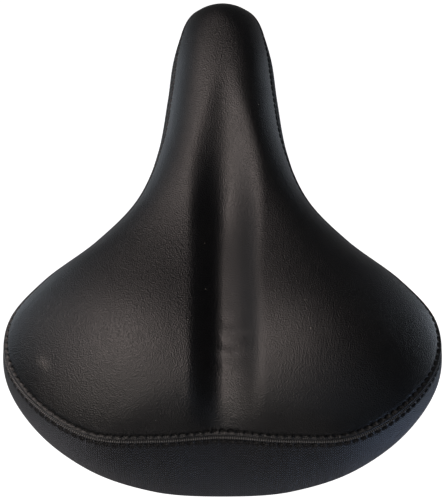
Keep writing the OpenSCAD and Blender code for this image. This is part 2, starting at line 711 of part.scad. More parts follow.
// ---------------------------------------------------------------- nose hinge
bushing_r = bushing_d / 2;
strap_r = bushing_r + bracket_t;
foot_margin = 5;
foot_reach = bracket_bolt_reach + foot_margin;
module nose_bushing() {
    color([0.08, 0.08, 0.08])
    translate([-bracket_w / 2, hinge_y, hinge_z])
        rotate([0, 90, 0])
            difference() {
                cylinder(r = bushing_r, h = bracket_w);
                translate([0, 0, -1]) cylinder(r = rail_r + hinge_play, h = bracket_w + 2);
            }
}
module nose_bracket() {
    color([0.14, 0.14, 0.14])
    difference() {
        union() {
            // The half ring under the bushing.
            translate([0, hinge_y, hinge_z])
                rotate([0, 90, 0])
                    rotate([0, 0, -90])
                        translate([0, 0, -bracket_w / 2])
                            rotate_extrude(angle = 180)
                                translate([bushing_r, 0]) square([bracket_t, bracket_w]);
            for (s = [-1, 1]) {
                // The upright legs.
                translate([-bracket_w / 2, hinge_y + (s > 0 ? bushing_r : -strap_r), hinge_z])
                    cube([bracket_w, bracket_t, plate_z - hinge_z]);
                // The feet below the base plate.
                translate([-bracket_w / 2, hinge_y + (s > 0 ? bushing_r : -foot_reach), plate_z - bracket_t])
                    cube([bracket_w, foot_reach - bushing_r, bracket_t]);
            }
        }
        at_bracket_bolts()
            translate([0, 0, plate_z - bracket_t - 1])
                cylinder(d = nose_bolt_d + bolt_play, h = bracket_t + 2);
    }
}
nose_nut_z = plate_z - bracket_t - hex_h(nose_bolt_d);
module nose_bracket_bolts() {
    color([0.7, 0.7, 0.72])
    at_bracket_bolts() {
        translate([0, 0, plate_top]) cylinder(r = nose_head_r, h = nose_head_h);
        translate([0, 0, nose_nut_z - bolt_tip])
            cylinder(d = nose_bolt_d, h = plate_top - nose_nut_z + bolt_tip + 0.5);
    }
}
module nose_bracket_nuts() {
    at_bracket_bolts() translate([0, 0, nose_nut_z]) nut(nose_bolt_d);
}

rail_frame();
rear_bridge();
lower_spring_cup(-1);  // lower_spring_cup_left
lower_spring_cup(1);  // lower_spring_cup_right
coil_spring(-1);  // coil_spring_left
coil_spring(1);  // coil_spring_right
lower_spring_bolts();
lower_spring_washers();
lower_spring_nuts();
base_shell();
foam_pad();
gel_insert(true);  // gel_insert_left
gel_insert(false);  // gel_insert_right
top_cover();
side_skirt();
cover_staples();
nose_bracket();
nose_bushing();
nose_bracket_bolts();
nose_bracket_nuts();
upper_spring_cup(-1);  // upper_spring_cup_left
upper_spring_cup(1);  // upper_spring_cup_right
upper_spring_bolts();
upper_spring_washers();
upper_spring_nuts();
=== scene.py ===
"""A sprung comfort saddle for a city bicycle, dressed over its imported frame.

Sizes are in millimetres on the classes and become metres when a mesh is made. +Y is the nose,
+X the rider's right and +Z up; the origin is the middle of the straight rail stretch.
"""

import json
import logging
import math
from collections.abc import Sequence
from dataclasses import dataclass, field, replace
from enum import Enum

import bpy
import numpy as np
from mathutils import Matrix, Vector

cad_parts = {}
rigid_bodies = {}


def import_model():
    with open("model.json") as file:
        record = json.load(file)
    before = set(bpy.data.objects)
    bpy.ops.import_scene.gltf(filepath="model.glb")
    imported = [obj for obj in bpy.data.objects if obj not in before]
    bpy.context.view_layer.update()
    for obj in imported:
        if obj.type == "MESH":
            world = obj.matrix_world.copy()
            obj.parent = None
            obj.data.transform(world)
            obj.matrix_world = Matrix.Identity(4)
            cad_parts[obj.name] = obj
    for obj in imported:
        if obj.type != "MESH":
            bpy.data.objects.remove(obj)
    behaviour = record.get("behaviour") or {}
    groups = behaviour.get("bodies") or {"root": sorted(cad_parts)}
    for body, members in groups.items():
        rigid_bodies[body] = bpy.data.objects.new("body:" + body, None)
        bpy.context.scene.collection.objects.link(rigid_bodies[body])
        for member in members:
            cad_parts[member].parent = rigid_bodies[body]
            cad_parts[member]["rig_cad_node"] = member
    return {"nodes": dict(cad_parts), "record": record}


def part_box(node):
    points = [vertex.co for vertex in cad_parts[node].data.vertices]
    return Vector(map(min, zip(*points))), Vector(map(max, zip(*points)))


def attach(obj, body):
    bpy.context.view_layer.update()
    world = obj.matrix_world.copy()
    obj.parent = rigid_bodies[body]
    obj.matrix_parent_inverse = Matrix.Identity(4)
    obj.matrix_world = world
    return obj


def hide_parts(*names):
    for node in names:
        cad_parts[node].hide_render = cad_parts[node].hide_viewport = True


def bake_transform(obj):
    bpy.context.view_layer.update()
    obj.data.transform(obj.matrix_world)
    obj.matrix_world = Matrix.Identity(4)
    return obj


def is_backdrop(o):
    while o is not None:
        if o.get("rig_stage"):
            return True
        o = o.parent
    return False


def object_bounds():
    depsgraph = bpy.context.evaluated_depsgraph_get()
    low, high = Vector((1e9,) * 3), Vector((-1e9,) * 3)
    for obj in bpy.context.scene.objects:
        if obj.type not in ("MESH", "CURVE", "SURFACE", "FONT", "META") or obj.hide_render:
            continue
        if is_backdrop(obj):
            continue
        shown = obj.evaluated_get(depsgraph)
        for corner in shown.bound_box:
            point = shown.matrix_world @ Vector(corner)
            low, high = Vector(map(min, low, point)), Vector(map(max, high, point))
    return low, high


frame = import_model()
CAD_BOX = [[float(v) for v in corner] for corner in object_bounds()]
LOG = logging.getLogger("saddle")
MM = 0.001

# How far a cutter reaches past the solid that it cuts.
CUT_OVER = 1.0
# How finely the outline and the surface are sampled to measure along them.
OUTLINE_SAMPLES = 6001
SURFACE_SAMPLES = 220
# Scales at which a wave texture's bands repeat once in each unit.
STRAIGHT_BANDS = math.tau / 20
DIAGONAL_BANDS = math.tau / 10

Array = np.ndarray
Pair = tuple[float, float]
Corners = list[list[int]]
Piece = bpy.types.Object
Node = bpy.types.Node
Tree = bpy.types.NodeTree
Socket = bpy.types.NodeSocket


class Side(Enum):
    """The rider's left or right, as the sign of X."""

    LEFT = -1
    RIGHT = 1

    @property
    def word(self) -> str:
        """The word that node names end in."""
        return self.name.lower()


class Ends(Enum):
    """How a stack of rings is closed: on the spine at both ends, or into a loop."""

    SPINE = "spine"
    LOOP = "loop"


class Join(Enum):
    """What a boolean does with its operands."""

    ADD = "UNION"
    CUT = "DIFFERENCE"


# ------------------------------------------------------------------ small tools


def linear(hex_colour: str) -> tuple[float, float, float, float]:
    """Turn an sRGB hex colour into linear RGBA.

    Args:
        hex_colour: Six hex digits, with or without a leading #.

    Returns:
        The linear colour with alpha 1.
    """
    digits = hex_colour.lstrip("#")
    shares = [int(digits[i : i + 2], 16) / 255 for i in (0, 2, 4)]
    red, green, blue = (s / 12.92 if s <= 0.04045 else ((s + 0.055) / 1.055) ** 2.4 for s in shares)
    return (red, green, blue, 1.0)


def add_node(
    tree: Tree, kind: str, inputs: dict[int | str, object] | None = None, **settings: object,
) -> Node:
    """Add one node with its settings and inputs.

    Args:
        tree: The material or geometry tree.
        kind: The node's type name.
        inputs: Input name or number, to the socket that feeds it or to its constant value.
        settings: Properties of the node itself.

    Returns:
        The new node.
    """
    node = tree.nodes.new(kind)
    for name, value in settings.items():
        setattr(node, name, value)
    for key, value in (inputs or {}).items():
        if isinstance(value, Socket):
            tree.links.new(value, node.inputs[key])
        else:
            node.inputs[key].default_value = value
    return node


def make_mesh(
    name: str, points: Array, faces: Corners, edges: Corners | None = None, smooth: bool = True,
) -> Piece:
    """Make an object at the origin from points in millimetres.

    Args:
        name: The piece's name.
        points: An (n, 3) array in millimetres.
        faces: Corner numbers of each face, anticlockwise from outside.
        edges: Point numbers of edges that bear no face.
        smooth: Whether faces are shaded smooth.

    Returns:
        The new object, linked to the scene.
    """
    mesh = bpy.data.meshes.new(name)
    mesh.from_pydata((points * MM).tolist(), edges or [], faces)
    mesh.polygons.foreach_set("use_smooth", [smooth] * len(mesh.polygons))
    mesh.update()
    piece = bpy.data.objects.new(name, mesh)
    bpy.context.scene.collection.objects.link(piece)
    return piece


def smooth_by_angle(piece: Piece, degrees: float) -> None:
    """Shade smooth, keeping edges sharper than an angle crisp.

    Args:
        piece: The piece to shade.
        degrees: Edges that bend more than this stay sharp.
    """
    mesh = piece.data
    mesh.polygons.foreach_set("use_smooth", [True] * len(mesh.polygons))
    mesh.set_sharp_from_angle(angle=math.radians(degrees))


def bake_modifiers(piece: Piece) -> None:
    """Turn a piece's evaluated shape into its own plain mesh and drop the modifiers.

    Args:
        piece: The piece, with its modifiers on it.
    """
    depsgraph = bpy.context.evaluated_depsgraph_get()
    evaluated = piece.evaluated_get(depsgraph)
    mesh = bpy.data.meshes.new_from_object(evaluated, preserve_all_data_layers=True, depsgraph=depsgraph)
    mesh.name = piece.name
    piece.modifiers.clear()
    piece.data = mesh


def cut_and_join(piece: Piece, others: list[Piece], how: Join) -> None:
    """Apply solid booleans and delete the operands.

    Args:
        piece: The piece that is kept.
        others: Closed meshes taken from it or added to it.
        how: Whether they are added or cut away.
    """
    for other in others:
        step = piece.modifiers.new("solid", "BOOLEAN")
        step.operation = how.value
        step.solver = "MANIFOLD"
        step.object = other
    bake_modifiers(piece)
    for other in others:
        bpy.data.objects.remove(other)


def add_face(faces: Corners, corners: list[int]) -> None:
    """Add a face without its repeated corners, unless fewer than three are left.

    Args:
        faces: The faces made so far.
        corners: The face's point numbers in order.
    """
    corners = [c for i, c in enumerate(corners) if c != corners[i - 1]]
    if len(corners) > 2:
        faces.append(corners)


def ring_solid(name: str, rings: list[Array], ends: Ends) -> Piece:
    """Skin a stack of rings, each one loop of points round the saddle.

    A ring may have a whole number of times as many points as the ring beside it.

    Args:
        name: The piece's name.
        rings: Arrays of shape (n, 3). With SPINE ends the first and last lie on the middle plane.
        ends: How the stack is closed.

    Returns:
        A closed object whose faces point outwards.
    """
    numbers: Corners = []
    points: list[Array] = []
    used = 0
    for k, ring in enumerate(rings):
        around = np.arange(len(ring))
        if ends is Ends.SPINE and k in (0, len(rings) - 1):
            half = len(ring) // 2
            around = np.clip(np.minimum(around, len(ring) - around), 1, half - 1) - 1
            ring = ring[1:half]
        numbers.append((used + around).tolist())
        points.append(ring)
        used += len(ring)
    if ends is Ends.LOOP:
        numbers.append(numbers[0])
    faces: Corners = []
    for first, second in zip(numbers, numbers[1:]):
        cells = min(len(first), len(second))
        one, two = len(first) // cells, len(second) // cells
        first, second = first + first[:1], second + second[:1]
        for j in range(cells):
            near, far = first[j * one : (j + 1) * one + 1], second[j * two : (j + 1) * two + 1]
            add_face(faces, [near[0], *far, *near[:0:-1]])
    return make_mesh(name, np.concatenate(points), faces)


def lathe(name: str, profile: list[Pair], centre: Vector, steps: int = 48) -> Piece:
    """Turn a closed profile round a vertical axis.

    Args:
        name: The piece's name.
        profile: (radius, height) points of a closed outline, anticlockwise with radius to the right.
        centre: A point on the axis, in millimetres.
        steps: Facets round the axis.

    Returns:
        A closed ring or disc. Points on the axis are merged.
    """
    angles = np.arange(steps) * 2 * math.pi / steps
    numbers, points, used = [], [], 0
    for radius, height in profile:
        if radius == 0:
            points.append(np.array([[centre[0], centre[1], centre[2] + height]]))
            numbers.append(np.full(steps, used))
            used += 1
            continue
        ring = np.stack([
            centre[0] + radius * np.cos(angles),
            centre[1] + radius * np.sin(angles),
            np.full(steps, centre[2] + height),
        ], 1)
        points.append(ring)
        numbers.append(used + np.arange(steps))
        used += steps
    numbers.append(numbers[0])
    faces: Corners = []
    for low, high in zip(numbers, numbers[1:]):
        for quad in np.stack([low, np.roll(low, -1), np.roll(high, -1), high], 1).tolist():
            add_face(faces, quad)
    return make_mesh(name, np.concatenate(points), faces)


def tube(name: str, path: Array, radius: float, sides: int) -> Piece:
    """Sweep a round wire along a path, with flat ends.

    Args:
        name: The piece's name.
        path: (n, 3) points in millimetres, dense enough for its bends.
        radius: Wire radius in millimetres.
        sides: Facets round the wire.

    Returns:
        A closed tube.
    """
    runs = np.gradient(path, axis=0)
    runs /= np.linalg.norm(runs, axis=1)[:, None]
    side = np.cross(runs[0], [0, 0, 1.0])
    if np.linalg.norm(side) < 0.1:
        side = np.array([1.0, 0, 0])
    frames = []
    for run in runs:
        side = side - run * (side @ run)
        side /= np.linalg.norm(side)
        frames.append((side, np.cross(run, side)))
    angles = np.arange(sides) * 2 * math.pi / sides
    rings = [
        p + radius * (np.outer(np.cos(angles), a) + np.outer(np.sin(angles), b))
        for p, (a, b) in zip(path, frames)]
    faces: Corners = []
    last = (len(rings) - 1) * sides
    for k in range(0, last, sides):
        for j in range(sides):
            n = (j + 1) % sides
            faces.append([k + j, k + n, k + sides + n, k + sides + j])
    faces += [list(range(sides - 1, -1, -1)), list(range(last, last + sides))]
    return make_mesh(name, np.concatenate(rings), faces)


def box_piece(name: str, low: Vector, high: Vector) -> Piece:
    """Make a plain block that a boolean uses.

    Args:
        name: The block's name.
        low: Its lowest corner, in millimetres.
        high: Its highest corner.

    Returns:
        The closed block.
    """
    x, y, z = zip(low, high)
    points = np.array([[a, b, c] for c in z for b in y for a in x])
    faces = [[0, 2, 3, 1], [4, 5, 7, 6], [0, 1, 5, 4], [2, 6, 7, 3], [0, 4, 6, 2], [1, 3, 7, 5]]
    return make_mesh(name, points, faces, smooth=False)


def disc_tool(centre: Vector, radius: float, low: float, high: float) -> Piece:
    """Make a round cutter between two heights, in millimetres."""
    profile = [(0, low), (radius, low), (radius, high), (0, high)]
    return lathe("cutter", profile, Vector((centre[0], centre[1], 0)))


def node_box(node: str) -> tuple[Vector, Vector]:
    """Give a CAD node's lowest and highest corner in millimetres."""
    low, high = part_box(node)
    return low / MM, high / MM


# ------------------------------------------------------------------ finishes


@dataclass(frozen=True)
class Finish:
    """What every finish shares: a record slot, and a material made once."""

    slot: str = ""

    def material(self) -> bpy.types.Material:
        """Give this finish's material, making it the first time.

        Returns:
            The material, named for the real finish.
        """
        name = type(self).__name__
        found = bpy.data.materials.get(name)
        if found:
            return found
        made = bpy.data.materials.new(name)
        made.use_nodes = True
        tree = made.node_tree
        tree.nodes.clear()
        shader = add_node(tree, "ShaderNodeBsdfPrincipled")
        add_node(tree, "ShaderNodeOutputMaterial", {"Surface": shader.outputs[0]})
        self.build(tree, shader)
        return made

    def build(self, tree: Tree, shader: Node) -> None:
        """Fill in the shader; each finish has its own."""
        raise NotImplementedError

    def dress(self, piece: Piece) -> None:
        """Put this finish on a piece.

        Args:
            piece: A new piece or a CAD node's object.
        """
        piece.data.materials.clear()
        piece.data.materials.append(self.material())


def grain_bump(tree: Tree, shader: Node, layers: list[tuple[Socket, float]]) -> None:
    """Chain bump nodes into a shader's normal.

    Args:
        tree: The material's tree.
        shader: The Principled shader.
        layers: Height sockets from 0 to 1, each with its depth in millimetres.
    """
    normal = None
    for height, depth in layers:
        inputs = {"Height": height, "Strength": 1.0, "Distance": depth * MM}
        if normal:
            inputs["Normal"] = normal
        normal = add_node(tree, "ShaderNodeBump", inputs).outputs[0]
    tree.links.new(normal, shader.inputs["Normal"])


def two_tone(tree: Tree, shader: Node, factor: Socket, low: str, high: str, edges: Pair) -> Socket:
    """Colour the shader by a ramp between two hex colours.

    Args:
        tree: The material's tree.
        shader: The Principled shader.
        factor: Where on the ramp each point is.
        low: Colour at the ramp's low edge.
        high: Colour at the ramp's high edge.
        edges: The factor values of the two edges.

    Returns:
        The ramp's colour.
    """
    ramp = add_node(tree, "ShaderNodeValToRGB", {"Fac": factor})
    for stop, place, colour in zip(ramp.color_ramp.elements, edges, (low, high)):
        stop.position = place
        stop.color = linear(colour)
    tree.links.new(ramp.outputs["Color"], shader.inputs["Base Color"])
    return ramp.outputs["Color"]


def roughness_between(tree: Tree, shader: Node, factor: Socket, low: float, high: float) -> Socket:
    """Drive roughness between two values.

    Args:
        tree: The material's tree.
        shader: The Principled shader.
        factor: A socket from 0 to 1.
        low: Roughness where the factor is 0.
        high: Roughness where the factor is 1.

    Returns:
        The roughness.
    """
    span = add_node(tree, "ShaderNodeMapRange", {0: factor, 3: low, 4: high})
    tree.links.new(span.outputs[0], shader.inputs["Roughness"])
    return span.outputs[0]


@dataclass(frozen=True)
class SyntheticLeather(Finish):
    """Black polyurethane-coated cover, embossed with a fine pebble and calendered to a soft satin."""

    slot: str = "cover_leather"
    colour: str = "050608"
    worn_colour: str = "090a0b"
    worn_edges: Pair = (0.3, 0.75)
    crease_mm: float = 7.0
    # Painted shade, mixed in where the fold and the stitch holes lie.
    seam_colour: str = "020202"
    gloss: Pair = (0.26, 0.37)
    pebble_mm: float = 0.66
    pebble_depth_mm: float = 0.22
    fleck_mm: float = 0.528
    fleck_depth_mm: float = 0.17
    dust_colour: str = "b9b4ae"
    dust_gap_mm: float = 9.0
    # A dust speck is solid within the first share of the gap and has faded out at the second.
    dust_reach: Pair = (0.018, 0.03)
    dust_cover: float = 0.8
    # A faint rub on the left lobe: its middle, its half length and half width, and its turn.
    scuff_at_mm: tuple[float, float, float] = (-85.2, -77.8, 88.0)
    scuff_reach_mm: Pair = (7.5, 3.2)
    scuff_turn_deg: float = -48.0
    scuff_cover: float = 0.16
    scuff_core: float = 0.2
    # The rub shows where the fine grain stands higher than this, and fully at the second height.
    scuff_grain: Pair = (0.42, 0.6)

    def scuff(self, tree: Tree, place: Socket, fleck: Socket) -> Socket:
        """Draw the rub, broken up by the grain.

        Args:
            tree: The material's tree.
            place: Object coordinates.
            fleck: The fine grain.

        Returns:
            How pale the cover is there, from 0 up.
        """
        length, width = self.scuff_reach_mm
        patch = add_node(
            tree, "ShaderNodeMapping",
            {"Vector": place, "Location": Vector(self.scuff_at_mm) * MM,
             "Rotation": (0, 0, math.radians(self.scuff_turn_deg)),
             "Scale": (length * MM, width * MM, length * MM)}, vector_type="TEXTURE")
        away = add_node(tree, "ShaderNodeVectorMath", {0: patch.outputs[0]}, operation="LENGTH")
        fade = add_node(
            tree, "ShaderNodeMapRange",
            {0: away.outputs["Value"], 1: self.scuff_core, 2: 1.0, 3: self.scuff_cover, 4: 0.0})
        broken = add_node(
            tree, "ShaderNodeMapRange", {0: fleck, 1: self.scuff_grain[0], 2: self.scuff_grain[1]})
        rub = add_node(
            tree, "ShaderNodeMath", {0: fade.outputs[0], 1: broken.outputs[0]}, operation="MULTIPLY")
        return rub.outputs[0]

    def build(self, tree: Tree, shader: Node) -> None:
        """Pebble and broad tone, with painted shade and more roughness in the fold and round the stitches, a
        rub and specks of dust.

        Args:
            tree: The material's tree.
            shader: The Principled shader.
        """
        place = add_node(tree, "ShaderNodeTexCoord").outputs["Object"]
        pebble = add_node(
            tree, "ShaderNodeTexVoronoi",
            {"Vector": place, "Scale": 1 / (self.pebble_mm * MM), "Smoothness": 0.35, "Randomness": 0.9},
            feature="SMOOTH_F1")
        tone = add_node(
            tree, "ShaderNodeTexNoise",
            {"Vector": place, "Scale": 1 / (self.crease_mm * MM), "Detail": 4.0, "Roughness": 0.6})
        fleck = add_node(
            tree, "ShaderNodeTexNoise",
            {"Vector": place, "Scale": 1 / (self.fleck_mm * MM), "Detail": 2.0,
             "Roughness": 0.7}).outputs["Fac"]
        # Mask of painted shade in the fold and round each stitch hole; it also raises the roughness there.
        seam = add_node(tree, "ShaderNodeAttribute", attribute_name="seam_depth").outputs["Fac"]
        specks = add_node(
            tree, "ShaderNodeTexVoronoi",
            {"Vector": place, "Scale": 1 / (self.dust_gap_mm * MM), "Randomness": 1.0})
        dust = add_node(
            tree, "ShaderNodeMapRange",
            {0: specks.outputs["Distance"], 1: self.dust_reach[0], 2: self.dust_reach[1],
             3: self.dust_cover, 4: 0.0}).outputs[0]
        shade = two_tone(tree, shader, tone.outputs["Fac"], self.colour, self.worn_colour, self.worn_edges)
        rub = self.scuff(tree, place, fleck)
        # The first mix paints shade into the fold and stitch holes; the rub and the specks are pale dust.
        for mask, colour in ((seam, self.seam_colour), (rub, self.dust_colour), (dust, self.dust_colour)):
            shade = add_node(
                tree, "ShaderNodeMix", {0: mask, 6: shade, 7: linear(colour)}, data_type="RGBA").outputs[2]
        tree.links.new(shade, shader.inputs["Base Color"])
        gloss = roughness_between(tree, shader, fleck, *self.gloss)
        dull = add_node(tree, "ShaderNodeMath", {0: gloss, 1: seam}, operation="MAXIMUM")
        tree.links.new(dull.outputs[0], shader.inputs["Roughness"])
        shader.inputs["IOR"].default_value = 1.5
        grain_bump(
            tree, shader, [(pebble.outputs["Distance"], self.pebble_depth_mm), (fleck, self.fleck_depth_mm)])


@dataclass(frozen=True)
class CoatedWeave(Finish):
    """Black ballistic weave, coated on the back: staggered dots of thread with a faint upright rib."""

    slot: str = "skirt_fabric"
    rib_mm: float = 1.05
    pick_mm: float = 2.0
    fuzz_mm: float = 2.2
    dot_depth_mm: float = 0.32
    rib_depth_mm: float = 0.1
    rib_share: float = 0.3
    gloss: Pair = (0.38, 0.56)
    colour: str = "040405"
    crown_colour: str = "242425"
    crown_edges: Pair = (0.16, 0.5)
    # A painted highlight on the rib crowns of the folded edge just under the seam, where light catches the
    # lip.
    lip_colour: str = "7a7978"
    lip_mm: Pair = (1.9, 1.4)

    def build(self, tree: Tree, shader: Node) -> None:
        """Dots, ribs and a painted highlight on the lip, from the cloth's own map, in metres round the seam
        and down from it.

        Args:
            tree: The material's tree.
            shader: The Principled shader.
        """
        cloth = add_node(tree, "ShaderNodeUVMap", uv_map="cloth").outputs[0]
        ribs = add_node(
            tree, "ShaderNodeTexWave", {"Vector": cloth, "Scale": STRAIGHT_BANDS / (self.rib_mm * MM)},
            bands_direction="X").outputs["Fac"]
        slants = []
        for lean in (1, -1):
            steps = (1 / (self.rib_mm * MM), lean / (self.pick_mm * MM), 0)
            slanted = add_node(tree, "ShaderNodeVectorMath", {0: cloth, 1: steps}, operation="MULTIPLY")
            slants.append(add_node(
                tree, "ShaderNodeTexWave", {"Vector": slanted.outputs[0], "Scale": DIAGONAL_BANDS},
                bands_direction="DIAGONAL").outputs["Fac"])
        dots = add_node(
            tree, "ShaderNodeMath", {0: slants[0], 1: slants[1]}, operation="MULTIPLY").outputs[0]
        fuzz = add_node(
            tree, "ShaderNodeTexNoise",
            {"Vector": cloth, "Scale": 1 / (self.fuzz_mm * MM), "Detail": 3.0}).outputs["Fac"]
        crowns = add_node(
            tree, "ShaderNodeMath", {0: ribs, 1: self.rib_share, 2: dots}, operation="MULTIPLY_ADD")
        uneven = add_node(tree, "ShaderNodeMath", {0: crowns.outputs[0], 1: fuzz}, operation="MULTIPLY")
        shade = two_tone(tree, shader, uneven.outputs[0], self.colour, self.crown_colour, self.crown_edges)
        # Painted highlight: the ribs just under the seam take a pale colour.
        down = add_node(tree, "ShaderNodeSeparateXYZ", {0: cloth}).outputs["Y"]
        low, high = (-depth * MM for depth in self.lip_mm)
        lip = add_node(tree, "ShaderNodeMapRange", {0: down, 1: low, 2: high, 3: 0.0, 4: 1.0})
        lit = add_node(tree, "ShaderNodeMath", {0: lip.outputs[0], 1: ribs}, operation="MULTIPLY")
        lip_highlighted = add_node(
            tree, "ShaderNodeMix", {0: lit.outputs[0], 6: shade, 7: linear(self.lip_colour)},
            data_type="RGBA")
        tree.links.new(lip_highlighted.outputs[2], shader.inputs["Base Color"])
        roughness_between(tree, shader, fuzz, *self.gloss)
        shader.inputs["IOR"].default_value = 1.45
        grain_bump(tree, shader, [(ribs, self.rib_depth_mm), (dots, self.dot_depth_mm)])


@dataclass(frozen=True)
class CloudedFinish(Finish):
    """Shared by the plainer finishes: a cloud of noise sets tone and gloss, and a grain the bump."""

    colour: str = ""
    cloud_colour: str = ""
    cloud_edges: Pair = (0.0, 1.0)
    cloud_mm: float = 6.0
    cloud_detail: float = 3.0
    swirl: float = 0.0
    # The grain is the cloud itself where it has no size of its own.
    grain_mm: float = 0.0
    grain_detail: float = 2.0
    grain_stretch: float = 1.0
    grain_depth_mm: float = 0.05
    gloss: Pair | None = None
    sockets: tuple[tuple[str, float], ...] = ()

    def build(self, tree: Tree, shader: Node) -> None:
        """Tone, gloss and grain in the material's own sizes.

        Args:
            tree: The material's tree.
            shader: The Principled shader.
        """
        place = add_node(tree, "ShaderNodeTexCoord").outputs["Object"]
        cloud = add_node(
            tree, "ShaderNodeTexNoise",
            {"Vector": place, "Scale": 1 / (self.cloud_mm * MM), "Detail": self.cloud_detail,
             "Distortion": self.swirl}).outputs["Fac"]
        two_tone(tree, shader, cloud, self.colour, self.cloud_colour, self.cloud_edges)
        if self.gloss:
            roughness_between(tree, shader, cloud, *self.gloss)
        for name, value in self.sockets:
            shader.inputs[name].default_value = value
        grain = self.grain(tree, place) if self.grain_mm else cloud
        grain_bump(tree, shader, [(grain, self.grain_depth_mm)])

    def grain(self, tree: Tree, place: Socket) -> Socket:
        """Draw the grain as fine noise, squeezed along Z where marks run round a part.

        Args:
            tree: The material's tree.
            place: Object coordinates.

        Returns:
            Its height, from 0 to 1.
        """
        if self.grain_stretch != 1.0:
            scale = (1.0, 1.0, self.grain_stretch)
            place = add_node(tree, "ShaderNodeMapping", {"Vector": place, "Scale": scale}).outputs[0]
        inputs = {"Vector": place, "Scale": 1 / (self.grain_mm * MM), "Detail": self.grain_detail}
        return add_node(tree, "ShaderNodeTexNoise", inputs).outputs["Fac"]


@dataclass(frozen=True)
class SewingThread(CloudedFinish):
    """Bonded black polyester thread, twisted from three strands: dark and dull, with strands that show."""

    slot: str = "skirt_fabric"
    colour: str = "060607"
    cloud_colour: str = "0b0b0c"
    cloud_mm: float = 0.45
    cloud_detail: float = 2.0
    grain_depth_mm: float = 0.06
    gloss: Pair | None = (0.6, 0.8)


@dataclass(frozen=True)
class MouldedFoam(CloudedFinish):
    """Cream polyurethane foam, moulded with a closed skin that shows its cells."""

    slot: str = "foam"
    colour: str = "a2977c"
    cloud_colour: str = "cfc6ae"
    cloud_edges: Pair = (0.2, 0.7)
    cloud_mm: float = 18.0
    grain_mm: float = 1.4
    grain_depth_mm: float = 0.35
    sockets: tuple[tuple[str, float], ...] = (("Roughness", 0.85),)

    def grain(self, tree: Tree, place: Socket) -> Socket:
        """Draw the cells."""
        inputs = {"Vector": place, "Scale": 1 / (self.grain_mm * MM)}
        return add_node(tree, "ShaderNodeTexVoronoi", inputs).outputs["Distance"]


@dataclass(frozen=True)
class SoftGel(CloudedFinish):
    """Blue polyurethane gel, cast clear in a thin film: wet-looking, with faint flow lines."""

    slot: str = "gel"
    colour: str = "3b6b9c"
    cloud_colour: str = "4f7fb0"
    cloud_edges: Pair = (0.3, 0.7)
    cloud_mm: float = 9.0
    cloud_detail: float = 2.0
    swirl: float = 1.2
    grain_depth_mm: float = 0.2
    sockets: tuple[tuple[str, float], ...] = (
        ("Roughness", 0.18), ("Transmission Weight", 0.35), ("IOR", 1.48))


@dataclass(frozen=True)
class SparkedPolypropylene(CloudedFinish):
    """Black injection-moulded polypropylene with a spark-eroded matt surface and broad flow marks."""

    slot: str = "shell_plastic"
    colour: str = "202022"
    cloud_colour: str = "2f2f31"
    cloud_edges: Pair = (0.4, 0.8)
    cloud_mm: float = 25.0
    cloud_detail: float = 5.0
    grain_mm: float = 0.5
    gloss: Pair | None = (0.45, 0.65)
    sockets: tuple[tuple[str, float], ...] = (("IOR", 1.49),)


@dataclass(frozen=True)
class PowderCoat(CloudedFinish):
    """Black polyester powder coat on steel wire: satin, with a faint orange peel and paler rubbed patches."""

    slot: str = "rail_steel"
    colour: str = "161617"
    cloud_colour: str = "242425"
    cloud_edges: Pair = (0.5, 0.85)
    cloud_mm: float = 12.0
    cloud_detail: float = 4.0
    grain_mm: float = 1.6
    grain_detail: float = 1.0
    grain_depth_mm: float = 0.03
    gloss: Pair | None = (0.3, 0.42)
    sockets: tuple[tuple[str, float], ...] = (("Coat Weight", 0.25), ("Coat Roughness", 0.25))


@dataclass(frozen=True)
class DippedBlack(CloudedFinish):
    """Black electro-dip paint on pressings: thin, smooth and semi-gloss, with faint runs."""

    slot: str = "pressed_steel"
    colour: str = "1a1a1c"
    cloud_colour: str = "28282a"
    cloud_edges: Pair = (0.4, 0.8)
    grain_depth_mm: float = 0.04
    gloss: Pair | None = (0.24, 0.4)


@dataclass(frozen=True)
class SpringPaint(DippedBlack):
    """The same dip on the spring wire, which is smoother and looks a shade darker."""

    slot: str = "spring_steel"
    colour: str = "141416"


@dataclass(frozen=True)
class ZincPlate(CloudedFinish):
    """Bright zinc plate on bolts, nuts and washers: turning marks under a bluish passivated cloud."""

    slot: str = "fastener_steel"
    colour: str = "9da1a8"
    cloud_colour: str = "b9bcc2"
    cloud_edges: Pair = (0.3, 0.7)
    cloud_mm: float = 4.0
    grain_mm: float = 0.35
    grain_stretch: float = 6.0
    grain_depth_mm: float = 0.02
    gloss: Pair | None = (0.25, 0.4)
    sockets: tuple[tuple[str, float], ...] = (("Metallic", 1.0),)


@dataclass(frozen=True)
class GalvanisedWire(ZincPlate):
    """Galvanised staple wire, drawn finer and duller than the bolts' plate."""

    slot: str = "staple_wire"
    colour: str = "5d5f61"
    cloud_colour: str = "6f7173"
    grain_mm: float = 0.25


@dataclass(frozen=True)
class MouldedRubber(CloudedFinish):
    """Black moulded rubber, matt with a pale bloom in its pores."""

    slot: str = "bushing_rubber"
    colour: str = "1c1c1c"
    cloud_colour: str = "2b2a29"
    cloud_edges: Pair = (0.45, 0.8)
    cloud_mm: float = 3.0
    cloud_detail: float = 4.0
    sockets: tuple[tuple[str, float], ...] = (("Roughness", 0.7),)


# ------------------------------------------------------------------ the seat's form


def ease(share: Array) -> Array:
    """Smooth a share from 0 to 1."""
    held = np.clip(share, 0, 1)
    return held * held * (3 - 2 * held)


def bell(value: Array, width: float) -> Array:
    """Give a bell curve that is 1 at 0."""
    return np.exp(-((value / width) ** 2))


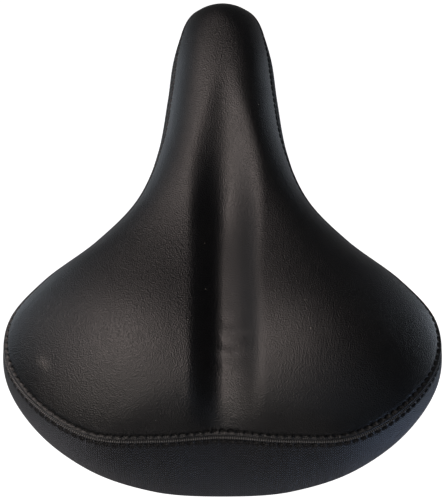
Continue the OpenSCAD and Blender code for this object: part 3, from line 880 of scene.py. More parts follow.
@dataclass(frozen=True)
class SeatForm:
    """The outer form that cover, skirt, foam and shell share, in millimetres.

    The half outline runs from the middle of the rear to the nose tip. A station holds x, y, seam
    height, skirt height, outward bow of the skirt and flare of its hem. A span is two shares of the
    length: where a change that runs back starts, and where it is done.
    """

    half_width: float
    nose_y: float
    rear_y: float
    nose_half: float = 27.7
    rear_bulge: float = 2.0
    # The stations between which the outline is widest, and how finely it is looked for.
    widest_between: tuple[int, int] = (3, 6)
    widest_samples: int = 301
    rear_seam_z: float = 82.0
    side_seam_z: float = 60.0
    rear_crest_z: float = 100.0
    nose_crest_z: float = 83.0
    crest_span: Pair = (0.5, 0.08)
    nose_droop: float = 9.0
    droop_from: float = 0.76
    skirt_h_rear: float = 51.0
    skirt_h_side: float = 24.0
    lobe_rise: float = 7.0
    lobe_w: float = 40.0
    lobe_l: float = 42.0
    lobe_x_share: float = 0.4
    lobe_y_share: float = 0.19
    channel_depth: float = 12.0
    channel_span: Pair = (0.8, 0.4)
    channel_w: float = 20.5
    channel_x: float = 1.5
    # The channel opens from this share of its width, and closes in again a little further back.
    mouth_share: float = 0.3
    mouth_span: Pair = (0.8, 0.57)
    waist_share: float = 0.1
    # Channel and ridge lose this share of their height towards the rear seam.
    fade_share: float = 0.25
    fade_span: Pair = (0.12, 0.02)
    ridge_rise: float = 3.0
    ridge_span: Pair = (0.5, 0.3)
    ridge_w: float = 7.0
    ridge_x: float = 3.5
    wrinkle_h: float = 0.5
    wrinkle_gap: float = 13.0
    wrinkle_slant: float = 0.3
    wrinkle_y_share: float = 0.15
    wrinkle_reach: float = 16.0
    # The spine is the line inside the outline that the cover's rings close on.
    spine_rear: float = 35.0
    spine_nose: float = 27.0
    spine_lead: float = 1.35
    # The section over the saddle is a rounded hump: (1 - r**dome_flat) ** (1 / dome_edge).
    dome_flat: float = 2.9
    dome_edge: float = 1.45
    relief_hold: int = 5
    cover_t: float = 1.4
    skirt_t: float = 1.4
    glue_gap: float = 0.2
    full_rim_reach: float = 45.0

    @classmethod
    def from_frame(cls) -> "SeatForm":
        """Read the outline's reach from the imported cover.

        Returns:
            The form, with its width and length taken from the CAD.
        """
        low, high = node_box("top_cover")
        form = cls(half_width=high.x, nose_y=high.y, rear_y=low.y + cls.rear_bulge)
        widest = form.rows_at(np.linspace(*cls.widest_between, cls.widest_samples))[:, 0].max()
        return replace(form, half_width=high.x * high.x / widest)

    @property
    def length(self) -> float:
        """Length of the seam outline."""
        return self.nose_y - self.rear_y

    @property
    def foam_depth(self) -> float:
        """Depth of the foam's surface below the cover's outside."""
        return self.cover_t + self.glue_gap

    @property
    def skin(self) -> float:
        """Depth of foam and shell behind the skirt's outside."""
        return self.skirt_t + self.glue_gap

    def along(self, share: float) -> float:
        """Give a Y between the rear seam and the nose tip."""
        return self.rear_y + self.length * share

    def stations(self) -> Array:
        """List the half outline's stations.

        Returns:
            An array with one row for each station.
        """
        w, n, y = self.half_width, self.nose_half, self.along

        def seam(share: float) -> float:
            """Height of the seam, from the side's to the rear's."""
            return self.side_seam_z + (self.rear_seam_z - self.side_seam_z) * share

        def skirt(share: float) -> float:
            """Height of the skirt, from the side's to the rear's."""
            return self.skirt_h_side + (self.skirt_h_rear - self.skirt_h_side) * share

        return np.array([
            [0, self.rear_y, seam(1), skirt(1), 3, 11],
            [0.29 * w, self.rear_y - self.rear_bulge, seam(1), skirt(0.9), 3, 8],
            [0.57 * w, self.rear_y, seam(0.98), skirt(0.56), 3, 3],
            [0.81 * w, y(0.06), seam(0.87), skirt(0.23), 2.5, 2.5],
            [0.97 * w, y(0.155), seam(0.5), skirt(0.04), 2, 1.5],
            [0.98 * w, y(0.25), seam(0.27), skirt(0), 1.5, -1],
            [0.835 * w, y(0.34), seam(0.1), skirt(0), 2, -3],
            [0.595 * w, y(0.43), seam(0), skirt(0), 2.5, -3],
            [0.405 * w, y(0.525), seam(0), skirt(0), 3, -2],
            [1.17 * n, y(0.65), seam(0), skirt(0.03), 3.5, -1],
            [n, y(0.775), seam(0.04), skirt(0.07), 3.5, -1],
            [0.9 * n, y(0.875), seam(0.04), skirt(0.1), 3.5, -1],
            [0.73 * n, y(0.952), seam(-0.04), skirt(0.1), 3, -1.5],
            [0.45 * n, y(0.988), seam(-0.07), skirt(0.1), 2, -2.5],
            [0, self.nose_y, seam(-0.09), skirt(0.1), 1.5, -3],
        ])

    def rows_at(self, u: Array) -> Array:
        """Blend the stations at positions u, counted in stations.

        Args:
            u: Positions from 0, the rear, to the last station, the nose.

        Returns:
            One station row for each position.
        """
        rows = self.stations()
        flip = np.array([-1, 1, 1, 1, 1, 1])
        padded = np.vstack([rows[1] * flip, rows, rows[-2] * flip])
        i = np.clip(np.floor(u).astype(int), 0, len(rows) - 2)
        f = (u - i)[:, None]
        a, b, c, d = (padded[i + k] for k in range(4))
        bend, twist = 2 * a - 5 * b + 4 * c - d, 3 * b - a - 3 * c + d
        return 0.5 * (2 * b + (c - a) * f + bend * f**2 + twist * f**3)

    def done(self, y: Array, span: Pair) -> Array:
        """Tell how much of a change over a span is done at y."""
        return ease((self.along(span[0]) - y) / ((span[0] - span[1]) * self.length))

    def crest(self, y: Array) -> Array:
        """Give the height of the middle line, before lobes and channel.

        Args:
            y: Positions along the saddle.

        Returns:
            Heights in millimetres.
        """
        reach = (1 - self.droop_from) * self.length
        fall = self.nose_droop * np.clip((y - self.along(self.droop_from)) / reach, 0, 1) ** 2
        rise = (self.rear_crest_z - self.nose_crest_z) * self.done(y, self.crest_span)
        return self.nose_crest_z + rise - fall

    def relief(self, x: Array, y: Array) -> Array:
        """Give the height that lobes and ridge add and the channel takes.

        Args:
            x: Distances from the middle plane, negative on the left.
            y: Positions along the saddle.

        Returns:
            Heights in millimetres.
        """
        lobes = self.lobe_rise * bell(np.abs(x) - self.lobe_x_share * self.half_width, self.lobe_w)
        lobes = lobes * bell(y - self.along(self.lobe_y_share), self.lobe_l)
        width = self.channel_w * (self.mouth_share + (1 - self.mouth_share) * self.done(y, self.mouth_span))
        width = width * (1 - self.waist_share * self.done(y, self.ridge_span))
        fade = 1 - self.fade_share * self.done(y, self.fade_span)
        depth = self.channel_depth * self.done(y, self.channel_span) * fade
        trough = 0.5 + 0.5 * np.cos(math.pi * np.clip((x - self.channel_x) / width, -1, 1))
        ridge = self.ridge_rise * self.done(y, self.ridge_span) * fade
        wave = self.wrinkle_h * np.sin(math.tau * (y + self.wrinkle_slant * x) / self.wrinkle_gap)
        ridge = ridge + wave * bell(y - self.along(self.wrinkle_y_share), self.wrinkle_reach)
        return lobes - depth * trough + ridge * bell(x - self.ridge_x, self.ridge_w)


@dataclass
class Loop:
    """The form sampled at places u of the half outline, on one side or both."""

    form: SeatForm
    u: Array
    side: Array
    perimeter: float = 0.0
    rows: Array = field(init=False)
    normal: Array = field(init=False)
    spine: Array = field(init=False)

    def __post_init__(self) -> None:
        """Work out station rows, plan normals and spine points."""
        last = len(self.form.stations()) - 1
        fine = np.linspace(0, last, OUTLINE_SAMPLES)
        run = np.gradient(self.form.rows_at(fine)[:, :2], axis=0)
        self.rows = self.form.rows_at(self.u)
        turn = np.stack([np.interp(self.u, fine, run[:, 1]), -np.interp(self.u, fine, run[:, 0])], 1)
        turn[self.u <= 0] = (0, -1)
        turn[self.u >= last] = (0, 1)
        self.normal = turn / np.linalg.norm(turn, axis=1)[:, None]
        rear, nose = self.form.rear_y + self.form.spine_rear, self.form.nose_y - self.form.spine_nose
        self.spine = rear + (nose - rear) * ease((self.u / last) ** self.form.spine_lead)

    @classmethod
    def even(cls, form: SeatForm, count: int) -> "Loop":
        """Sample the whole seam at an even number of evenly spaced points.

        Args:
            form: The seat's form.
            count: How many points, an even number.

        Returns:
            The loop, from the middle of the rear round by the right.
        """
        fine = np.linspace(0, len(form.stations()) - 1, OUTLINE_SAMPLES)
        steps = np.linalg.norm(np.diff(form.rows_at(fine)[:, :3], axis=0), axis=1)
        reach = np.concatenate([[0], np.cumsum(steps)])
        half = count // 2
        u = np.interp(np.linspace(0, reach[-1], half + 1), reach, fine)
        return cls(
            form, np.concatenate([u, u[-2:0:-1]]), np.concatenate([np.ones(half + 1), -np.ones(half - 1)]),
            2 * float(reach[-1]))

    @property
    def count(self) -> int:
        """How many points the loop has."""
        return len(self.u)

    @property
    def arc(self) -> Array:
        """Length along the seam at each point of an even loop."""
        return np.arange(self.count) * self.perimeter / self.count

    @property
    def hem_z(self) -> Array:
        """Height of the skirt's hem."""
        return self.rows[:, 2] - self.rows[:, 3]

    def placed(self, x: Array, y: Array, z: Array) -> Array:
        """Stack coordinates of the right half into points on both sides."""
        return np.stack([self.side * x, y + 0 * x, z + 0 * x], -1)

    def wall(self, q: Array | float, out: float) -> Array:
        """Give one ring of skirt wall points.

        Args:
            q: Share of the way from the seam to the hem.
            out: Offset outwards in millimetres.

        Returns:
            The ring.
        """
        d = self.rows[:, 4] * 4 * q * (1 - q) + self.rows[:, 5] * q + out
        x = self.rows[:, 0] + self.normal[:, 0] * d
        y = self.rows[:, 1] + self.normal[:, 1] * d
        return self.placed(x, y, self.rows[:, 2] - self.rows[:, 3] * q)

    def drawn_in(self, inward: float, z: Array | float) -> Array:
        """Give one ring of hem points pulled towards the spine.

        Args:
            inward: Length pulled in, less where the spine is near.
            z: Height of the ring.

        Returns:
            The ring.
        """
        x = self.rows[:, 0] + self.normal[:, 0] * self.rows[:, 5]
        y = self.rows[:, 1] + self.normal[:, 1] * self.rows[:, 5]
        r = 1 - inward / np.maximum(np.hypot(x, y - self.spine), self.form.full_rim_reach)
        return self.placed(x * r, self.spine + (y - self.spine) * r, z)

    def on_spine(self, z: float) -> Array:
        """Give the ring that lies on the spine at a height."""
        return self.placed(0 * self.spine, self.spine, z)

    def top(self, r: Array | float, depth: Array | float) -> Array:
        """Give one ring of the top surface, sunk by a depth.

        Args:
            r: Shares from 0 on the spine to 1 at the seam.
            depth: Depth below the cover's outside.

        Returns:
            The ring.
        """
        rows = self.rows
        y0 = self.spine + (rows[:, 1] - self.spine) * r
        x = (rows[:, 0] - self.normal[:, 0] * depth) * r
        y = self.spine + (rows[:, 1] - self.normal[:, 1] * depth - self.spine) * r
        form = self.form
        dome = np.maximum(0, 1 - r**form.dome_flat) ** (1 / form.dome_edge)
        crest = form.crest(y0)
        relief = form.relief(self.side * rows[:, 0] * r, y0) * (1 - r**form.relief_hold)
        return self.placed(x, y, rows[:, 2] + (crest - rows[:, 2] - depth) * dome + relief)

    def lengths(self) -> tuple[Array, Array]:
        """Measure over the top surface from the seam to the spine.

        Returns:
            Shares r from 1 to 0, and the lengths there for every column.
        """
        fine = np.sin(np.linspace(math.pi / 2, 0, SURFACE_SAMPLES))
        points = np.stack([self.top(r, 0.0) for r in fine])
        steps = np.linalg.norm(np.diff(points, axis=0), axis=2)
        return fine, np.concatenate([np.zeros((1, self.count)), np.cumsum(steps, 0)])

    def shares_at(self, goals: Array) -> Array:
        """Find the shares r for an array (k, count) of lengths over the surface from the seam."""
        fine, reach = self.lengths()
        return np.stack([np.interp(goals[:, j], reach[:, j], fine) for j in range(self.count)], 1)

    def top_rings(self, away: Sequence[float]) -> Array:
        """Give the rings of the top surface at lengths over it from the seam."""
        goals = np.repeat(np.array(away)[:, None], self.count, 1)
        return np.stack([self.top(r, 0.0) for r in self.shares_at(goals)])

    def wall_rings(self, away: Sequence[float]) -> Array:
        """Give the rings of the skirt wall at heights down from the seam."""
        return np.stack([self.wall(drop / self.rows[:, 3], 0.0) for drop in away])


def outward(grid: Array, spine_up: bool) -> Array:
    """Give unit normals of a grid of rings.

    Args:
        grid: Points of shape (rings, count, 3), rings running away from the seam.
        spine_up: Whether the rings run up to the spine, and not down the skirt.

    Returns:
        Normals that point out of the saddle.
    """
    around = np.roll(grid, -1, 1) - np.roll(grid, 1, 1)
    across = np.gradient(grid, axis=0)
    normal = np.cross(around, across) if spine_up else np.cross(across, around)
    length = np.linalg.norm(normal, axis=2, keepdims=True)
    return normal / np.maximum(length, 1e-9)


def slab(name: str, upper: Array, lower: Array, flip: bool) -> Piece:
    """Close two grids of points into one solid.

    Args:
        name: The piece's name.
        upper: Points of shape (rows, columns, 3).
        lower: The same below it.
        flip: Whether faces run the other way round, as on a mirrored side.

    Returns:
        The closed object.
    """
    rows, columns = upper.shape[:2]
    number = np.arange(rows * columns).reshape(rows, columns)
    cells = np.stack([number[:-1, :-1], number[:-1, 1:], number[1:, 1:], number[1:, :-1]], -1).reshape(-1, 4)
    faces = [*cells[:, ::-1].tolist(), *(cells + rows * columns).tolist()]
    border = np.concatenate([number[0, :-1], number[:-1, -1], number[-1, :0:-1], number[:0:-1, 0]])
    for a, b in zip(border.tolist(), np.roll(border, -1).tolist()):
        faces.append([a, b, b + rows * columns, a + rows * columns])
    if flip:
        faces = [face[::-1] for face in faces]
    return make_mesh(name, np.concatenate([upper.reshape(-1, 3), lower.reshape(-1, 3)]), faces)


# ------------------------------------------------------------------ geometry trees


class PatternTree:
    """A geometry-node tree with named inputs, run once and turned into a plain mesh."""

    def __init__(self, name: str, sizes: dict[str, float]) -> None:
        """Start a tree with its inputs.

        Args:
            name: The tree's name.
            sizes: Its named inputs with their values: lengths in metres, or plain numbers.
        """
        self.tree = bpy.data.node_groups.new(name, "GeometryNodeTree")
        new_socket = self.tree.interface.new_socket
        for way in ("INPUT", "OUTPUT"):
            new_socket("Geometry", in_out=way, socket_type="NodeSocketGeometry")
        self.values = {
            new_socket(size, in_out="INPUT", socket_type="NodeSocketFloat").identifier: value
            for size, value in sizes.items()}
        self.start = self.tree.nodes.new("NodeGroupInput")

    def __getitem__(self, name: str) -> Socket:
        """Give the socket that an input's value comes from."""
        return self.start.outputs[name]

    def close(self, geometry: Socket, material: bpy.types.Material) -> None:
        """End the tree in real geometry with its material.

        Args:
            geometry: What the tree has made.
            material: The finish that it takes.
        """
        real = add_node(self.tree, "GeometryNodeRealizeInstances", {0: geometry})
        dressed = add_node(
            self.tree, "GeometryNodeSetMaterial", {"Geometry": real.outputs[0], "Material": material})
        add_node(self.tree, "NodeGroupOutput", {0: dressed.outputs[0]})

    def run(self, piece: Piece) -> None:
        """Run the tree on a piece and keep the result as its mesh.

        Args:
            piece: The object that carries the tree's input geometry.
        """
        step = piece.modifiers.new(self.tree.name, "NODES")
        step.node_group = self.tree
        for identifier, value in self.values.items():
            step[identifier] = value
        bake_modifiers(piece)


def row_of_points(name: str, points: Array, lift: Array) -> Piece:
    """Make a closed row of points that carries a lift direction at each.

    Args:
        name: The piece's name.
        points: (n, 3) points in millimetres.
        lift: (n, 3) unit vectors, away from the surface.

    Returns:
        An object with edges only.
    """
    piece = make_mesh(name, points, [], [[i, (i + 1) % len(points)] for i in range(len(points))])
    layer = piece.data.attributes.new("lift", "FLOAT_VECTOR", "POINT")
    layer.data.foreach_set("vector", lift.astype(np.float32).ravel())
    return piece


def upright_on_row(pattern: PatternTree, instance: Socket) -> Socket:
    """Set an instance on every point of a row, X along the row and Z along its lift.

    Args:
        pattern: The tree being made.
        instance: The geometry to repeat.

    Returns:
        The instances.
    """
    tree = pattern.tree
    curve = add_node(tree, "GeometryNodeMeshToCurve", {0: pattern["Geometry"]})
    tangent = add_node(tree, "GeometryNodeInputTangent")
    lift = add_node(tree, "GeometryNodeInputNamedAttribute", {"Name": "lift"}, data_type="FLOAT_VECTOR")
    along = add_node(tree, "FunctionNodeAlignRotationToVector", {"Vector": tangent.outputs[0]}, axis="X")
    stand = add_node(
        tree, "FunctionNodeAlignRotationToVector",
        {"Rotation": along.outputs[0], "Vector": lift.outputs[0]}, axis="Z", pivot_axis="X")
    placed = add_node(
        tree, "GeometryNodeInstanceOnPoints",
        {"Points": curve.outputs[0], "Instance": instance, "Rotation": stand.outputs[0]})
    return placed.outputs[0]


def swept_wire(pattern: PatternTree, curve: Socket, sides: int) -> Socket:
    """Sweep a round wire along a curve.

    Args:
        pattern: The tree being made, which has an input named Wire radius.
        curve: The wire's middle line.
        sides: Facets round the wire.

    Returns:
        The closed, smooth wire.
    """
    tree = pattern.tree
    ring = add_node(
        tree, "GeometryNodeCurvePrimitiveCircle", {"Radius": pattern["Wire radius"], "Resolution": sides})
    swept = add_node(
        tree, "GeometryNodeCurveToMesh",
        {"Curve": curve, "Profile Curve": ring.outputs[0], "Fill Caps": True})
    return add_node(tree, "GeometryNodeSetShadeSmooth", {0: swept.outputs[0]}).outputs[0]


# ------------------------------------------------------------------ sub-assemblies


@dataclass(frozen=True)
class SewnEdge:
    """How a sewn edge leaves the plain form: bumps and hollows, each with a place, a height and a width."""

    row: float
    row_w: float
    fold_w: float
    roll_at: float
    roll_h: float
    roll_w: float
    puff_at: float
    fold_depth: float = 1.1
    groove_depth: float = 0.05
    hole_depth: float = 1.25
    puff_h: float = 0.1
    puff_w: float = 1.0

    def heights(self, away: Array, dash: Array) -> Array:
        """Give the height over the plain form: turned-in fold, roll, sunk stitches and puff.

        Args:
            away: Lengths over the surface from the seam.
            dash: 1 under each stitch and 0 between them.

        Returns:
            Heights in millimetres.
        """
        height = -self.fold_depth * bell(away, self.fold_w)
        height = height + self.roll_h * bell(away - self.roll_at, self.roll_w)
        height = height - (self.groove_depth + self.hole_depth * dash) * bell(away - self.row, self.row_w)
        return height + self.puff_h * bell(away - self.row - self.puff_at, self.puff_w)


@dataclass(frozen=True)
class Seam:
    """The double row of top-stitching that joins cover and skirt."""

    cover_edge: SewnEdge = SewnEdge(
        row=3.3, row_w=0.75, fold_w=0.6, roll_at=0.42 * 3.3, roll_h=0.7, roll_w=0.85, puff_at=1.8)
    skirt_edge: SewnEdge = SewnEdge(
        row=2.6, row_w=0.6, fold_w=0.5, roll_at=0.85, roll_h=0.5, roll_w=0.5, puff_at=1.6)
    pitch: float = 3.9
    stitch_length: float = 2.5
    hole_fade: float = 0.6
    thread_width: float = 0.6
    thread_height: float = 0.45
    # How deep a stitch's middle lies below the plain surface.
    bite: float = 1.0
    # Stitches lie square on the surface between two rings this far to either side of their row.
    beside: float = 0.4
    # The sewn edges are sampled this many times as finely as the rest.
    finer: int = 4

    def stitches(self, loop: Loop) -> int:
        """Count the stitches in one row, an even number."""
        return 2 * round(loop.perimeter / self.pitch / 2)

    def loop(self, form: SeatForm) -> Loop:
        """Sample the form once for each stitch."""
        return Loop.even(form, self.stitches(Loop.even(form, 8)))

    def beside_row(self, edge: SewnEdge) -> list[float]:
        """Give the lengths from the seam of a row and of the rings beside it."""
        return [edge.row + step for step in (-self.beside, 0, self.beside)]

    def dash(self, loop: Loop) -> Array:
        """Tell stitches from the bridges between them, round the seam.

        Args:
            loop: The form, sampled finely.

        Returns:
            1 under each stitch and 0 on the bridges.
        """
        turns = loop.arc / loop.perimeter * self.stitches(loop)
        away = np.abs((turns + 0.5) % 1 - 0.5) * loop.perimeter / self.stitches(loop)
        return 1 - ease((away - 0.5 * self.stitch_length + 0.5 * self.hole_fade) / self.hole_fade)

    def sew(self, name: str, rings: Array, spine_up: bool) -> Piece:
        """Lay a row of stitches round the seam.

        Args:
            name: The piece's name.
            rings: The row's ring with the rings beside it, in millimetres.
            spine_up: Whether the rings run up to the spine.

        Returns:
            The row of stitches.
        """
        lift = outward(rings, spine_up)[1]
        pattern = PatternTree("stitch_row", {
            "Stitch length": self.stitch_length * MM, "Thread width": self.thread_width * MM,
            "Thread height": self.thread_height * MM})
        tree = pattern.tree
        ball = add_node(tree, "GeometryNodeMeshUVSphere", {"Segments": 8, "Rings": 6, "Radius": 0.5})
        shape = add_node(tree, "ShaderNodeCombineXYZ", {
            0: pattern["Stitch length"], 1: pattern["Thread width"], 2: pattern["Thread height"]})
        stitch = add_node(
            tree, "GeometryNodeTransform", {"Geometry": ball.outputs[0], "Scale": shape.outputs[0]})
        smooth = add_node(tree, "GeometryNodeSetShadeSmooth", {0: stitch.outputs[0]})
        pattern.close(upright_on_row(pattern, smooth.outputs[0]), SewingThread().material())
        piece = row_of_points(name, rings[1] - lift * self.bite, lift)
        pattern.run(piece)
        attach(piece, "seat")
        SewingThread().slot
        return piece


@dataclass
class TopCover:
    """The one-piece leather panel over the padding, drawn down to the seam."""

    form: SeatForm
    seam: Seam
    around: int = 448
    # Lengths from the seam of the rings in the sewn edge, closest at the fold and the stitches.
    edge_rings: tuple[float, ...] = (
        0, 0.3, 0.6, 0.9, 1.2, 1.5, 1.8, 2.1, 2.4, 2.65, 2.9,
        3.1, 3.3, 3.5, 3.7, 3.95, 4.3, 5.0, 6.1, 7.6, 9.5)
    inner_rings: int = 46
    # Over 1, the rings lie closer again near the channel.
    inner_lead: float = 1.25
    lining_rings: int = 28
    turned_in: float = 0.4
    # Half widths of the painted shade in the fold and round each stitch.
    fold_dark: float = 0.5
    stitch_dark: float = 0.7

    def edge(self, loop: Loop) -> tuple[Array, Array]:
        """Shape the edge: folded lip, roll, sunk stitches and the puff above them.

        Args:
            loop: The form, sampled finely.

        Returns:
            The edge's rings from the seam up, and how much painted shade each point takes in the fold and
            round the stitches, from 0 to 1.
        """
        grid, away = loop.top_rings(self.edge_rings), np.array(self.edge_rings)[:, None]
        dash, edge = self.seam.dash(loop)[None], self.seam.cover_edge
        # Painted shade: full in the fold, and round each stitch hole.
        depth = np.clip(bell(away, self.fold_dark) + dash * bell(away - edge.row, self.stitch_dark), 0, 1)
        return grid + outward(grid, spine_up=True) * edge.heights(away, dash)[..., None], depth

    def inside(self, loop: Loop) -> list[Array]:
        """Place the rings over the padding, closer again near the channel.

        Args:
            loop: The form, sampled coarsely.

        Returns:
            The rings from the edge to the spine.
        """
        total, start = loop.lengths()[1][-1], self.edge_rings[-1]
        shares = 1 - (1 - np.linspace(0, 1, self.inner_rings + 1)[1:]) ** self.inner_lead
        r = loop.shares_at(start + (total[None] - start) * shares[:, None])
        r[-1] = 0
        return [loop.top(row, 0.0) for row in r]

    def build(self) -> list[Piece]:
        """Make the cover and its row of stitches.

        Returns:
            The cover and the upper stitch row.
        """
        coarse = Loop.even(self.form, self.around)
        edge, depth = self.edge(Loop.even(self.form, self.around * self.seam.finer))
        inside = self.inside(coarse)
        turns = np.linspace(math.pi / 2, 0, self.lining_rings)
        lining = [coarse.top(math.sin(t), self.form.cover_t) for t in turns]
        turned = lining[0] - np.array([0, 0, self.turned_in])
        rings = [*inside[::-1], *edge[::-1], turned, *lining]
        cover = ring_solid("cover_panel", rings, Ends.SPINE)
        self.mark_depth(cover, self.around // 2 - 1 + (len(inside) - 1) * self.around, depth)
        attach(cover, "seat")
        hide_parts("top_cover")
        SyntheticLeather().dress(cover)
        return [cover, self.stitch_row()]

    def mark_depth(self, cover: Piece, start: int, depth: Array) -> None:
        """Store how much painted shade each point takes in the fold and round the stitches, for the finish to
        read.

        Args:
            cover: The panel.
            start: Number of the first point of the edge's innermost ring.
            depth: Painted shade of the edge's rings, seam first.
        """
        values = np.zeros(len(cover.data.vertices), np.float32)
        values[start : start + depth.size] = depth[::-1].ravel()
        layer = cover.data.attributes.new("seam_depth", "FLOAT", "POINT")
        layer.data.foreach_set("value", values)

    def stitch_row(self) -> Piece:
        """Sew the upper row."""
        rings = self.seam.loop(self.form).top_rings(self.seam.beside_row(self.seam.cover_edge))
        return self.seam.sew("cover_stitches", rings, spine_up=True)


@dataclass
class SideSkirt:
    """The ribbed fabric band round the saddle, turned in under the rim."""

    form: SeatForm
    seam: Seam
    around: int = 448
    flap: float = 8.0
    hem_radius: float = 1.3
    edge_rings: tuple[float, ...] = (
        0.1, 0.35, 0.6, 0.9, 1.2, 1.5, 1.8, 2.05, 2.25, 2.45, 2.6, 2.8, 3.05, 3.4, 4.2, 5.6, 7.5)
    body_rings: int = 16
    # The hem's turn from wall to flap, and how far in the rings under it lie.
    hem_turns: tuple[float, ...] = (25, 50, 75, 90)
    flap_rings: tuple[float, ...] = (2.5, 4, 6)
    lining_shares: tuple[float, ...] = (0.75, 0.5, 0.25, 0.1)
    lining_top: float = 0.12

    def edge(self, loop: Loop) -> Array:
        """Shape the edge: rolled lip, sunk stitches and the puff below them.

        Args:
            loop: The form, sampled finely.

        Returns:
            The edge's rings from the seam down.
        """
        grid, away = loop.wall_rings(self.edge_rings), np.array(self.edge_rings)[:, None]
        height = self.seam.skirt_edge.heights(away, self.seam.dash(loop)[None])
        return grid + outward(grid, spine_up=False) * height[..., None]

    def build(self) -> list[Piece]:
        """Make the skirt and its row of stitches.

        Returns:
            The skirt and the lower stitch row.
        """
        fine = Loop.even(self.form, self.around * self.seam.finer)
        loop = Loop.even(self.form, self.around)
        thick, height, start = self.form.skirt_t, loop.rows[:, 3], self.edge_rings[-1]
        shares = np.linspace(0, 1, self.body_rings + 1)[1:]
        reach = height - self.hem_radius - start
        body = [loop.wall((start + reach * share) / height, 0.0) for share in shares]
        turn = []
        for angle in np.radians(self.hem_turns):
            rise = self.hem_radius * (1 - math.sin(angle))
            turn.append(loop.drawn_in(self.hem_radius * (1 - math.cos(angle)), loop.hem_z + rise))
        end = self.flap + thick
        under = [loop.drawn_in(inward, loop.hem_z) for inward in (*self.flap_rings, self.flap, end)]
        back = [loop.drawn_in(end, loop.hem_z + thick)]
        lining = (1 - thick / height, *self.lining_shares, self.lining_top / height)
        inner = [loop.wall(q, -thick) for q in lining]
        rings = [*self.edge(fine), *body, *turn, *under, *back, *inner]
        skirt = ring_solid("skirt_band", rings, Ends.LOOP)
        self.map_cloth(skirt, loop, rings)
        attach(skirt, "seat")
        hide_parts("side_skirt")
        CoatedWeave().dress(skirt)
        return [skirt, self.stitch_row()]

    def map_cloth(self, skirt: Piece, loop: Loop, rings: list[Array]) -> None:
        """Lay a map on the cloth: metres round the seam, and metres down from it.

        Args:
            skirt: The skirt piece.
            loop: The form, sampled coarsely.
            rings: Its rings, in order.
        """
        columns = np.stack([ring[:: len(ring) // loop.count] for ring in rings])
        steps = np.linalg.norm(np.diff(columns, axis=0), axis=2)
        depths = np.concatenate([np.zeros((1, loop.count)), np.cumsum(steps, axis=0)])
        turns = np.arange(loop.count + 1) / loop.count
        down = np.concatenate([
            np.interp(np.arange(len(ring)) / len(ring), turns, np.append(row, row[0]))
            for ring, row in zip(rings, depths)])
        arc = np.concatenate([np.arange(len(ring)) / len(ring) for ring in rings])
        mesh = skirt.data
        corners = np.empty(len(mesh.loops), np.int32)
        mesh.loops.foreach_get("vertex_index", corners)
        starts, totals = (np.empty(len(mesh.polygons), np.int32) for _ in range(2))
        mesh.polygons.foreach_get("loop_start", starts)
        mesh.polygons.foreach_get("loop_total", totals)
        # A face that closes the loop has its corners at 0 moved to 1, so that the map doesn't turn back.
        furthest = np.repeat(np.maximum.reduceat(arc[corners], starts), totals)
        around = (arc[corners] + ((arc[corners] == 0) & (furthest > 0.5))) * loop.perimeter
        layer = mesh.uv_layers.new(name="cloth")
        layer.data.foreach_set("uv", (np.stack([around, -down[corners]], 1) * MM).astype(np.float32).ravel())

    def stitch_row(self) -> Piece:
        """Sew the lower row."""
        rings = self.seam.loop(self.form).wall_rings(self.seam.beside_row(self.seam.skirt_edge))
        return self.seam.sew("skirt_stitches", rings, spine_up=False)


@dataclass
class Staples:
    """Wire staples that hold the flap to the rim of the shell."""

    form: SeatForm
    count: int = 44
    width: float = 8.0
    leg: float = 1.2
    wire: float = 0.7
    inset: float = 4.8
    gap: float = 0.05
    wire_sides: int = 8
    # Points of the flap's line to each staple, which stands on the middle one.
    spread: int = 8

    def build(self) -> list[Piece]:
        """Set one staple at every even step round the flap.

        Returns:
            The staples, as one piece.
        """
        loop = Loop.even(self.form, self.count * self.spread)
        line = loop.drawn_in(self.inset, loop.hem_z)[self.spread // 2 :: self.spread]
        # A staple is drawn about its middle, and its crown has to lie flat on the flap.
        points = line - np.array([0, 0, self.gap + (self.wire - self.leg) / 2])
        pattern = PatternTree("staple_row", {
            "Width": self.width * MM, "Leg": self.leg * MM,
            "Wire radius": self.wire / 2 * MM, "Bend radius": self.wire / 2 * MM})
        tree = pattern.tree
        outline = add_node(
            tree, "GeometryNodeCurvePrimitiveQuadrilateral",
            {"Width": pattern["Width"], "Height": pattern["Leg"]})
        cut = add_node(tree, "GeometryNodeSetSplineCyclic", {0: outline.outputs[0], "Cyclic": False})
        round_off = add_node(
            tree, "GeometryNodeFilletCurve", {"Curve": cut.outputs[0], "Radius": pattern["Bend radius"]})
        wire = swept_wire(pattern, round_off.outputs[0], self.wire_sides)
        turned = add_node(
            tree, "GeometryNodeTransform", {"Geometry": wire, "Rotation": (math.pi / 2, 0, 0)})
        pattern.close(upright_on_row(pattern, turned.outputs[0]), GalvanisedWire().material())
        piece = row_of_points("rim_staples", points, np.tile([0.0, 0.0, -1.0], (len(points), 1)))
        pattern.run(piece)
        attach(piece, "seat")
        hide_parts("cover_staples")
        GalvanisedWire().slot
        return [piece]


